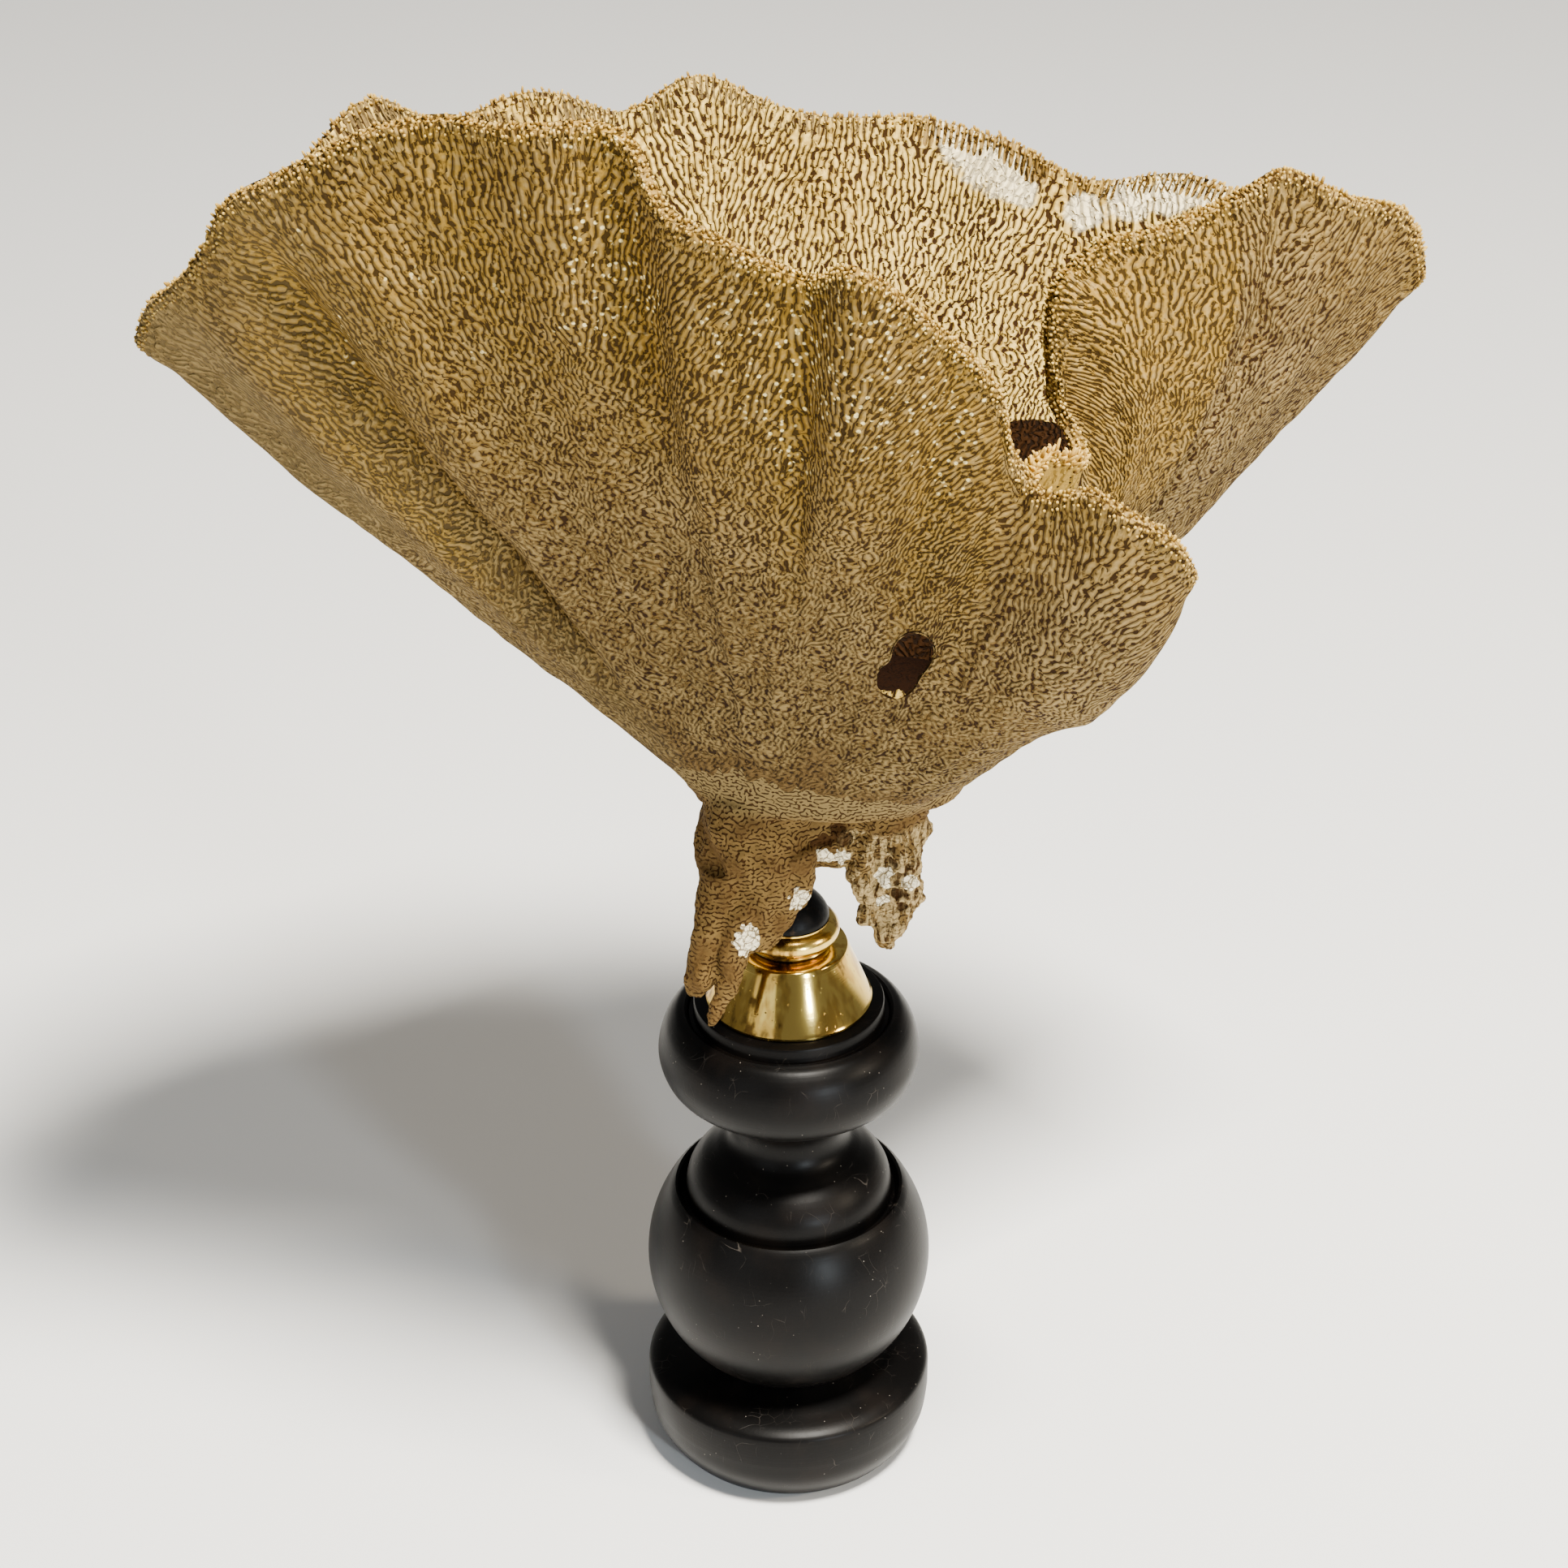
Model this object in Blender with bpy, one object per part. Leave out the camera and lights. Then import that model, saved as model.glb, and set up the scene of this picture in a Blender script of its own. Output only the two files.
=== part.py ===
"""Dried cup sponge on a turned stand, at its real size.

The sponge is a thin-walled funnel that grows from a small root, with a wavy rim, a lobe that droops at the front, a deep
pleat and a second lobe at the right. Two torn prongs of its holdfast hang below the root. A pin in the stand's black tip
goes up into the left prong. Under the tip are a brass bead, a brass cone and an ebonised wooden pedestal.

The front faces -Y and +X is to the right. The origin is the centre of the pedestal's flat underside. Places and sizes in
the tables are in millimetres, and MM turns them into metres.
"""
import math

import bmesh
import bpy
import numpy as np
from mathutils import Vector

MM = 0.001
GAP = 0.3                       # clearance between touching pieces

# Pedestal, from the floor up
FOOT_RADIUS = 34.5
BASE_RADIUS = 45.0
BASE_TOP = 36.0                 # where the base's slope meets the ball
BALL_RADIUS = 44.4
BALL_CENTRE = 70.8
SHOULDER_RADIUS = 36.0          # where the ball ends and the groove round the dome begins
DOME_RADIUS = 32.2
NECK_RADIUS = 17.2
BULB_RADIUS = 39.8
BULB_CENTRE = 147.0
STEP_RADIUS = 29.0
PEDESTAL_TOP = 166.5
WOOD_SIDES = 24

# Brass and tip
CONE_FOOT_RADIUS = 25.2
CONE_TOP_RADIUS = 18.0
CONE_HEIGHT = 19.6
CONE_RECESS_RADIUS = 12.6       # of the shallow recess in the cone's top
BEAD_RADIUS = 15.2
BEAD_NECK_RADIUS = 12.2         # above and below its bulge
BEAD_BULGE = 3.6                # half the bulge's height
BEAD_HEIGHT = 9.0
TIP_RADIUS = 12.0
TIP_HEIGHT = 11.5
PIN_RADIUS = 1.6
PIN_TOP = 231.0
METAL_SIDES = 24
SOCKET_GAP = 0.4                # clearance round the tip and its pin inside the holdfast

# Sponge wall
WALL_AT_ROOT = 7.0
WALL_AT_RIM = 3.6
AROUND = 120                    # faces round the cup
ALONG = 10                      # faces from root to rim
ROOT_CENTRE = (12.0, -2.0, 243.0)
ROOT_RADII = (35.0, 21.0)
ROOT_SLOPE = (0.02, -0.16)      # how the root's ring rises along X and Y

# The rim, clockwise as seen from below: the bearing in which the wall leaves the root, in degrees from +X, and the
# place of the rim (x, y, z)
RIM = [
    # left tip and the tall front wall
    (180, -171, -15, 389), (186, -167, -30, 406), (192, -150, -46, 427), (198, -139, -54, 445),
    (205, -115, -62, 460), (213, -90, -68, 469), (221, -64, -74, 472), (229, -41, -80, 468),
    (237, -25, -88, 454), (246, 1, -94, 437), (255, 16, -100, 447), (263, 34, -98, 429),
    (271, 51, -90, 410), (278, 56, -84, 388),
    # front lobe, out to its tip and back behind itself
    (284, 64, -86, 379), (289, 75, -92, 382), (294, 86, -96, 375), (299, 98, -94, 368),
    (304, 103, -84, 355), (308, 99, -70, 347), (312, 89, -61, 349), (316, 77, -57, 353), (319, 67, -54, 358),
    # tuft at the bottom of the pleat
    (322, 61, -47, 359), (325, 62, -39, 362), (328, 69, -32, 363), (331, 77, -27, 358),
    # right lobe, up its free edge and out to the right tip
    (334, 77, -20, 363), (339, 71, -17, 374), (344, 68, -18, 390), (349, 70, -19, 407), (353, 80, -14, 414),
    (357, 98, -8, 417), (361, 122, 0, 426), (365, 133, 4, 428), (370, 148, 12, 421),
    (375, 168, 26, 409), (381, 178, 44, 384),
    # back wall, from right to left
    (389, 166, 66, 382), (397, 150, 84, 384), (406, 131, 99, 386), (415, 112, 108, 388),
    (425, 86, 114, 385), (435, 64, 118, 395), (444, 45, 120, 401), (455, 20, 118, 401),
    (466, -5, 115, 408), (477, -28, 106, 418), (487, -50, 96, 413), (498, -75, 84, 421),
    (509, -98, 70, 420), (519, -118, 58, 428), (528, -136, 45, 417), (535, -154, 30, 404),
]

# How far the wall bows out a little above half way, away from the straight line between root and rim: bearing,
# (x, y, z)
BELLY = [
    (180, -2, 0, -1), (213, -2, -5, -3), (255, 0, -7, -4), (284, 3, -8, -8), (297, 5, -9, -9),
    (305, 6, -6, -9), (312, 4, 0, -5), (320, 2, 2, 0), (328, 2, 3, 2), (333, 7, 1, 10), (338, 18, 2, 9),
    (344, 29, 4, 6), (350, 33, 5, 6), (357, 27, 6, 6), (363, 20, 6, 6), (371, 13, 4, 4), (381, 0, 0, -2),
    (420, 3, 7, -3), (480, -2, 8, -4), (525, -4, 4, -3),
]

# Folds down the wall: bearing, half width in degrees, depth (inward is positive), and where it begins and ends between
# root (0) and rim (1)
FOLDS = [
    (196.5, 2.6, 8.0, 0.12, 0.98),
    (190.5, 2.6, -3.5, 0.15, 0.98),
    (203.0, 3.0, -3.0, 0.40, 1.00),
    (214.0, 3.5, 2.5, 0.55, 1.10),
    (221.0, 3.5, -2.5, 0.50, 1.10),
    (228.0, 3.5, 4.5, 0.50, 1.10),
    (236.5, 3.5, -3.5, 0.50, 1.10),
    (247.0, 4.0, 5.0, 0.40, 1.10),
    (256.5, 4.0, -5.0, 0.45, 1.10),
    (267.0, 3.0, 3.0, 0.40, 1.10),
    (303.0, 9.0, 4.0, 0.10, 0.60),
    (368.0, 3.0, -3.0, 0.35, 1.10),
    (440.0, 7.0, -4.0, 0.40, 1.10),
    (458.0, 7.0, 4.0, 0.40, 1.10),
    (492.0, 8.0, 4.0, 0.40, 1.10),
    (512.0, 6.0, -3.0, 0.40, 1.10),
]
RIM_WAVE = 1.2                  # how far the rim's edge runs up and down
RIM_WAVES = 23                  # waves round the rim
EVENED = 2                      # rounds of evening out the wall's normals before it is given its thickness

# The kidney-shaped hole through the front wall
HOLE_CENTRE = (30.8, -59.6, 313.4)
HOLE_RADIUS = 7.4               # on average
HOLE_STRETCH = 2.2              # added along its length and taken off across it
HOLE_LEAN = 60.0                # of its long side from the level, in degrees
HOLE_TILT = 62.0                # of the cut's axis from straight up, leaning forward
HOLE_DEPTH = 30.0
HOLE_SIDES = 20

# Holdfast: each limb is a run of rounded sections, (x, y, z) of the middle, then half widths along X and Y
LIMBS = {
    "root block": [(9, 2, 252, 26, 13), (8, 0, 242, 26, 14), (8, -3, 233, 22, 12), (9, -5, 225, 17, 9),
                   (10, -6, 219, 11, 6)],
    "left prong": [(-8, -11, 247, 15, 13), (-10, -11, 238, 16.5, 14), (-10, -12, 228, 16.5, 14),
                   (-10, -14, 218, 15.5, 12), (-10, -18, 209, 12, 8), (-9, -20, 203, 8, 6), (-9, -21, 199, 5, 4)],
    "left finger": [(-18, -18, 224, 7, 7), (-22, -21, 210, 5.5, 6), (-25, -25, 199, 5, 5), (-26.5, -27, 191, 4.2, 4.4),
                    (-27, -28, 186, 2.4, 2.6)],
    "thin finger": [(-14, -21, 212, 6, 6), (-16, -25, 201, 5, 4.5), (-17, -28, 192, 4, 3.5), (-20, -30, 184, 2.8, 2.8),
                    (-23, -31, 177, 1.4, 1.5)],
    "inner flap": [(0, -15, 230, 8, 8), (2, -17, 220, 6, 5.5), (3, -18, 214, 3.4, 3.4), (3, -18, 210, 1.5, 1.6)],
    "right prong": [(27, -3, 246, 15, 13), (28, -4, 234, 12.5, 12), (29.5, -5, 223, 11, 9), (31, -6, 212, 9, 8),
                    (31, -7, 202, 7, 6.5), (30, -8, 195, 4.6, 5), (29, -8, 190, 2.4, 2.6)],
    "right spur": [(27, -9, 218, 5, 5), (24.5, -11, 208, 4, 4), (23.5, -12, 201, 2, 2)],
}
LIMB_SIDES = 10


def clear_scene():
    """Removes every object, so that the model starts from nothing."""
    for thing in list(bpy.data.objects):
        bpy.data.objects.remove(thing, do_unlink=True)


def material(name, colour, roughness, metallic=0.0):
    """A plain material of one colour."""
    made = bpy.data.materials.new(name)
    made.use_nodes = True
    shader = made.node_tree.nodes["Principled BSDF"]
    shader.inputs["Base Color"].default_value = (*colour, 1.0)
    shader.inputs["Roughness"].default_value = roughness
    shader.inputs["Metallic"].default_value = metallic
    return made


def new_object(name, mesh_data, finish=None):
    """An object in the scene for a mesh."""
    thing = bpy.data.objects.new(name, mesh_data)
    bpy.context.scene.collection.objects.link(thing)
    if finish:
        mesh_data.materials.append(finish)
    return thing


def object_from_bmesh(name, shape, finish=None):
    """Closes a bmesh into an object, with its faces pointing out."""
    bmesh.ops.recalc_face_normals(shape, faces=shape.faces)
    mesh_data = bpy.data.meshes.new(name)
    shape.to_mesh(mesh_data)
    shape.free()
    return new_object(name, mesh_data, finish)


def smooth(thing, angle):
    """Smooth shading, with edges sharper than the angle kept crisp."""
    thing.data.shade_smooth()
    thing.data.set_sharp_from_angle(angle=math.radians(angle))


def arc(centre_r, centre_z, radius_r, radius_z, start, end, steps):
    """Points of an elliptical arc in a turned profile, from one angle to another in degrees from straight out."""
    points = []
    for step in range(steps + 1):
        angle = math.radians(start + (end - start) * step / steps)
        points.append((centre_r + radius_r * math.cos(angle), centre_z + radius_z * math.sin(angle)))
    return points


def turned(name, profile, sides, finish=None):
    """A solid turned round the Z axis from a profile of (radius, height) in millimetres, bottom to top."""
    shape = bmesh.new()
    points = [(0.0, profile[0][1]), *profile, (0.0, profile[-1][1])]
    verts = [shape.verts.new((radius * MM, 0.0, height * MM)) for radius, height in points]
    edges = [shape.edges.new(pair) for pair in zip(verts, verts[1:])]
    bmesh.ops.spin(shape, geom=verts + edges, axis=(0, 0, 1), cent=(0, 0, 0), angle=math.tau, steps=sides,
                   use_merge=True)
    bmesh.ops.remove_doubles(shape, verts=shape.verts, dist=1e-6)
    return object_from_bmesh(name, shape, finish)


def turned_pedestal(finish):
    """The ebonised wooden baluster: base, ball, dome, neck, bulb and step ring in one turning."""
    ball_low = math.degrees(math.asin((BASE_TOP - BALL_CENTRE) / BALL_RADIUS))
    ball_high = math.degrees(math.acos(SHOULDER_RADIUS / BALL_RADIUS))
    shoulder = BALL_CENTRE + BALL_RADIUS * math.sin(math.radians(ball_high))
    profile = [
        (FOOT_RADIUS, 0.0), (FOOT_RADIUS + 3.0, 1.0), (41.2, 5.5), (44.0, 11.5), (BASE_RADIUS, 19.0),
        (BASE_RADIUS, 27.5), (44.0, 29.6), (41.0, 31.0), (36.5, 32.2), (32.0, 33.6),
        *arc(0.0, BALL_CENTRE, BALL_RADIUS, BALL_RADIUS, ball_low, ball_high, 11),
        (SHOULDER_RADIUS - 1.4, shoulder - 0.3), (SHOULDER_RADIUS - 2.6, shoulder - 3.0),
        (DOME_RADIUS, shoulder - 2.2), (DOME_RADIUS - 0.4, 99.5), (30.4, 103.6), (27.2, 107.8), (22.6, 111.4),
        (18.8, 114.6), (NECK_RADIUS, 119.0), (18.2, 124.5), (22.6, 129.5), (28.5, 133.2), (34.0, 137.0),
        (37.9, 141.0), (BULB_RADIUS, BULB_CENTRE), (39.4, 152.2), (37.6, 157.6), (34.6, 161.4), (31.8, 162.8),
        (30.6, 161.6), (STEP_RADIUS, 161.8), (STEP_RADIUS, PEDESTAL_TOP - 1.0), (STEP_RADIUS - 0.8, PEDESTAL_TOP),
    ]
    thing = turned("turned_pedestal", profile, WOOD_SIDES, finish)
    smooth(thing, 50)
    return thing


def brass_cone(finish):
    """The brass cone: a short upright foot, a straight flank and a rounded lip."""
    foot = PEDESTAL_TOP + GAP
    top = foot + CONE_HEIGHT
    profile = [
        (CONE_FOOT_RADIUS, foot), (CONE_FOOT_RADIUS, foot + 1.0), (CONE_FOOT_RADIUS - 0.6, foot + 1.8),
        (CONE_TOP_RADIUS, top - 1.4), (CONE_TOP_RADIUS - 0.5, top - 0.3), (CONE_TOP_RADIUS - 1.5, top),
        (CONE_RECESS_RADIUS, top - 0.2), (CONE_RECESS_RADIUS - 0.6, top),
    ]
    thing = turned("brass_cone", profile, METAL_SIDES, finish)
    smooth(thing, 40)
    return thing, top


def brass_bead(foot, finish):
    """The rounded brass collar on the cone."""
    middle = foot + 0.55 * BEAD_HEIGHT
    inside = BEAD_NECK_RADIUS - 1.0
    profile = [
        (BEAD_NECK_RADIUS - 0.2, foot), (BEAD_NECK_RADIUS + 0.6, foot + 0.8),
        *arc(inside, middle, BEAD_RADIUS - inside, BEAD_BULGE, -75, 75, 6),
        (BEAD_NECK_RADIUS, foot + BEAD_HEIGHT),
    ]
    thing = turned("brass_bead", profile, METAL_SIDES, finish)
    smooth(thing, 50)
    return thing, foot + BEAD_HEIGHT


def tip_profile(foot, clearance):
    """The black tip with its pin, as (radius, height), grown outwards by a clearance."""
    top = foot + TIP_HEIGHT
    return [
        (TIP_RADIUS + clearance, foot), (TIP_RADIUS - 0.2 + clearance, foot + 1.6),
        (TIP_RADIUS - 1.6 + clearance, foot + 4.2), (TIP_RADIUS - 4.4 + clearance, foot + 7.2),
        (TIP_RADIUS - 7.6 + clearance, foot + 9.6), (PIN_RADIUS + 0.8 + clearance, top),
        (PIN_RADIUS + clearance, top + 1.5), (PIN_RADIUS + clearance, PIN_TOP - 1.0 + clearance),
        (PIN_RADIUS - 0.7 + clearance, PIN_TOP + clearance),
    ]


def spike(foot, finish):
    """The black tip of the stand and the pin that carries the sponge."""
    thing = turned("spike", tip_profile(foot, 0.0), METAL_SIDES, finish)
    smooth(thing, 50)
    return thing


def closed_curve(rows, steps):
    """Rows read at even steps along the smooth closed curve through them. The first column is a bearing, which grows by
    360 over one round, and columns 1 to 3 are a place. A long span gets somewhat fewer steps for its length."""
    rows = np.array(rows, float)
    count = len(rows)
    turn = np.zeros(rows.shape[1])
    turn[0] = 360.0
    fine = 16
    found, shares = [], []
    for index in range(count):
        near = [rows[(index + k) % count] + turn * ((index + k) // count) for k in (-1, 0, 1, 2)]
        length = np.linalg.norm(near[2][1:4] - near[1][1:4])
        for step in range(fine):
            u = step / fine
            weights = ((-u + 2 * u ** 2 - u ** 3) / 2, (2 - 5 * u ** 2 + 3 * u ** 3) / 2,
                       (u + 4 * u ** 2 - 3 * u ** 3) / 2, (-u ** 2 + u ** 3) / 2)
            found.append(sum(weight * row for weight, row in zip(weights, near)))
            shares.append(length ** 0.6 / fine)
    found.append(found[0] + turn)
    along = np.concatenate([[0.0], np.cumsum(shares)])
    wanted = np.linspace(0.0, along[-1], steps, endpoint=False)
    found = np.array(found)
    return np.stack([np.interp(wanted, along, found[:, column]) for column in range(rows.shape[1])], axis=1)


def with_belly(rim):
    """The rim's rows with the wall's bow added to each as three more columns."""
    belly = np.array(BELLY + [(BELLY[0][0] + 360, *BELLY[0][1:])], float)
    return [(*row, *(np.interp(row[0], belly[:, 0], belly[:, k]) for k in (1, 2, 3))) for row in rim]


def ease(value):
    """0 to 1 with a soft start and end."""
    value = np.clip(value, 0.0, 1.0)
    return value * value * (3 - 2 * value)


def unit(vectors):
    """Vectors along the last axis, made one long."""
    return vectors / np.maximum(np.linalg.norm(vectors, axis=-1, keepdims=True), 1e-9)


def grid_normals(grid, rounds=0):
    """Outward normals of a grid of places that is closed round its first axis, evened out with their neighbours'."""
    round_it = np.roll(grid, -1, axis=0) - np.roll(grid, 1, axis=0)
    up_it = np.gradient(grid, axis=1)
    normals = unit(np.cross(round_it, up_it))
    for _ in range(rounds):
        normals = unit(np.roll(normals, -1, axis=0) + 2 * normals + np.roll(normals, 1, axis=0))
    return normals


def cup_wall(around, along):
    """The middle of the cup's wall, as places [around, along, xyz] in millimetres, and their outward normals."""
    rim = closed_curve(with_belly(RIM), around)
    bearing = rim[:, 0]
    turn = np.radians(bearing)
    root = np.stack([
        ROOT_CENTRE[0] + ROOT_RADII[0] * np.cos(turn),
        ROOT_CENTRE[1] + ROOT_RADII[1] * np.sin(turn),
        np.full(around, ROOT_CENTRE[2]),
    ], axis=1)
    root[:, 2] += ROOT_SLOPE[0] * (root[:, 0] - ROOT_CENTRE[0]) + ROOT_SLOPE[1] * (root[:, 1] - ROOT_CENTRE[1])
    edge = rim[:, 1:4].copy()
    edge[:, 2] += RIM_WAVE * np.sin(RIM_WAVES * np.linspace(0, math.tau, around, endpoint=False))
    belly = rim[:, 4:7]
    height = np.linspace(0.0, 1.0, along + 1)[None, :, None]
    bow = height ** 1.5 * (1 - height) / (0.6 ** 1.5 * 0.4)
    grid = root[:, None] + (edge - root)[:, None] * height + belly[:, None] * bow
    normals = grid_normals(grid)
    push = np.zeros((around, along + 1))
    for middle, half, depth, start, end in FOLDS:
        across = np.exp(-((((bearing - middle + 180) % 360) - 180) / half) ** 2)[:, None]
        climb = ease((height[0, :, 0] - start) / 0.3) * ease((end - height[0, :, 0]) / 0.12 + 1e-9)
        push -= depth * across * climb[None, :]
    grid = grid + normals * push[:, :, None]
    return grid, grid_normals(grid, EVENED)


def cup(finish):
    """The funnel as one closed wall, thick at the root and thin at the rim, with a floor inside and a flat underside."""
    grid, normals = cup_wall(AROUND, ALONG)
    height = np.linspace(0.0, 1.0, ALONG + 1)[None, :, None]
    half = 0.5 * (WALL_AT_ROOT + (WALL_AT_RIM - WALL_AT_ROOT) * height ** 0.6)
    outer = (grid + normals * half) * MM
    inner = (grid - normals * half) * MM
    shape = bmesh.new()
    out_rows = [[shape.verts.new(place) for place in outer[:, row]] for row in range(ALONG + 1)]
    in_rows = [[shape.verts.new(place) for place in inner[:, row]] for row in range(1, ALONG + 1)]
    rows = out_rows + in_rows[::-1]
    for low, high in zip(rows, rows[1:]):
        for index in range(AROUND):
            after = (index + 1) % AROUND
            shape.faces.new((low[index], low[after], high[after], high[index]))
    for row, lift in ((rows[0], -0.002), (rows[-1], -0.003)):
        middle = sum((vert.co for vert in row), Vector()) / AROUND + Vector((0, 0, lift))
        centre = shape.verts.new(middle)
        for index in range(AROUND):
            shape.faces.new((row[index], row[(index + 1) % AROUND], centre))
    return object_from_bmesh("sponge", shape, finish)


def limb(name, sections):
    """A rounded limb through its sections, closed at both ends."""
    shape = bmesh.new()
    rings = []
    for x, y, z, half_x, half_y in sections:
        ring = []
        for side in range(LIMB_SIDES):
            angle = math.tau * side / LIMB_SIDES
            uneven = 1.0 + 0.07 * math.sin(3 * angle + 0.19 * z) + 0.05 * math.sin(5 * angle - 0.31 * z)
            place = Vector((x + half_x * uneven * math.cos(angle), y + half_y * uneven * math.sin(angle), z))
            ring.append(shape.verts.new(place * MM))
        rings.append(ring)
    for low, high in zip(rings, rings[1:]):
        for side in range(LIMB_SIDES):
            after = (side + 1) % LIMB_SIDES
            shape.faces.new((low[side], low[after], high[after], high[side]))
    shape.faces.new(rings[0])
    shape.faces.new(rings[-1])
    return object_from_bmesh(name, shape)


def helper(thing):
    """Keeps a cutter or a part of a union out of the model itself."""
    thing.hide_render = True
    thing.display_type = "WIRE"
    return thing


def boolean(target, tool, operation):
    """Joins a helper to the target or cuts it away, as a modifier."""
    change = target.modifiers.new(f"{operation.lower()} {tool.name}", "BOOLEAN")
    change.operation = operation
    change.solver = "EXACT"
    change.object = helper(tool)


def hole_cutter():
    """A kidney-shaped cutter whose axis leans forward, through the front wall."""
    shape = bmesh.new()
    ring = []
    for side in range(HOLE_SIDES):
        angle = math.tau * side / HOLE_SIDES
        radius = HOLE_RADIUS + HOLE_STRETCH * math.cos(2 * (angle - math.radians(HOLE_LEAN)))
        place = (radius * math.cos(angle), radius * math.sin(angle), -HOLE_DEPTH / 2)
        ring.append(shape.verts.new(Vector(place) * MM))
    made = bmesh.ops.extrude_face_region(shape, geom=[shape.faces.new(ring)])
    far = [item for item in made["geom"] if isinstance(item, bmesh.types.BMVert)]
    bmesh.ops.translate(shape, verts=far, vec=(0, 0, HOLE_DEPTH * MM))
    thing = object_from_bmesh("hole cutter", shape)
    thing.location = Vector(HOLE_CENTRE) * MM
    thing.rotation_euler = (math.radians(HOLE_TILT), 0.0, 0.0)
    return thing


def sponge(tip_foot, finish):
    """The cup with its holdfast joined on, the kidney-shaped hole and the socket for the stand's tip cut out."""
    body = cup(finish)
    for name, sections in LIMBS.items():
        boolean(body, limb(name, sections), "UNION")
    boolean(body, hole_cutter(), "DIFFERENCE")
    boolean(body, turned("tip clearance", tip_profile(tip_foot, SOCKET_GAP), METAL_SIDES), "DIFFERENCE")
    smooth(body, 60)
    return body


def main():
    """Builds the stand from the floor up, then the sponge on its pin."""
    clear_scene()
    straw = material("dry sponge", (0.56, 0.42, 0.20), 0.85)
    ebonised = material("ebonised wood", (0.012, 0.011, 0.011), 0.38)
    black = material("black tip", (0.010, 0.010, 0.010), 0.45)
    polished = material("polished brass", (0.78, 0.52, 0.16), 0.16, 1.0)
    tarnished = material("tarnished brass", (0.62, 0.42, 0.16), 0.30, 1.0)
    turned_pedestal(ebonised)
    _, cone_top = brass_cone(polished)
    _, bead_top = brass_bead(cone_top + GAP, tarnished)
    tip_foot = bead_top + GAP
    spike(tip_foot, black)
    sponge(tip_foot, straw)


main()
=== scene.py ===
"""Looks of a dried cup sponge on its turned stand: the ribbed wall, its fringe and holdfast, brass and
black wood.

The funnel's wall is worked out again from the same curves as the solid one, with many more faces. Places and
sizes in the tables are in millimetres, and MM turns them into metres.
"""
import math

import bmesh
import bpy
import numpy as np
from bpy.props import FloatProperty, FloatVectorProperty, IntProperty, PointerProperty
from mathutils import Matrix, Vector
from mathutils.bvhtree import BVHTree


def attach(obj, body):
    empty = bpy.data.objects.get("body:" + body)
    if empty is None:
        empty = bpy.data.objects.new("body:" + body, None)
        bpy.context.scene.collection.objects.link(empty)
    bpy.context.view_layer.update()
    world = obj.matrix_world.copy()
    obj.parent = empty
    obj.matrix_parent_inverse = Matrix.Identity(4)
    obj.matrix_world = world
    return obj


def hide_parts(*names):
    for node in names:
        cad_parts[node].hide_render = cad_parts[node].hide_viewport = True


bl_info = {
    "name": "Cup sponge on a turned stand",
    "version": (1, 0),
    "blender": (4, 5, 0),
    "location": "View3D > Sidebar > Sponge",
    "description": "Builds a dried cup sponge with its fringe and holdfast, its stand and the studio",
    "category": "Object",
}

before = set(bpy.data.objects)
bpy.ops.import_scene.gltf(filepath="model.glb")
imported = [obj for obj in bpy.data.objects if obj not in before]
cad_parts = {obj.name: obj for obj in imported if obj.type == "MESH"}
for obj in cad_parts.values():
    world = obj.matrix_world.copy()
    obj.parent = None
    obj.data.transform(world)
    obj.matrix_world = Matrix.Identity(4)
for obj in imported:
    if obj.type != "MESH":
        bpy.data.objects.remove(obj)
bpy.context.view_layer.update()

MM = 0.001

# Camera, for the square frame
FRAME_PIXELS = 1932
FOCAL_PIXELS = 4400.0
SENSOR_WIDTH = 36.0
CAMERA_PLACE = (-0.0015, -0.897, 0.776)
CAMERA_TILT = 59.2              # degrees from looking straight down

FLOOR_HALF = 4000               # half the floor's width

# Sponge wall
WALL_AT_ROOT = 7.0
WALL_AT_RIM = 3.6
ROOT_CENTRE = (12.0, -2.0, 243.0)
ROOT_RADII = (35.0, 21.0)
ROOT_SLOPE = (0.02, -0.16)      # how the root's ring rises along X and Y

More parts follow.
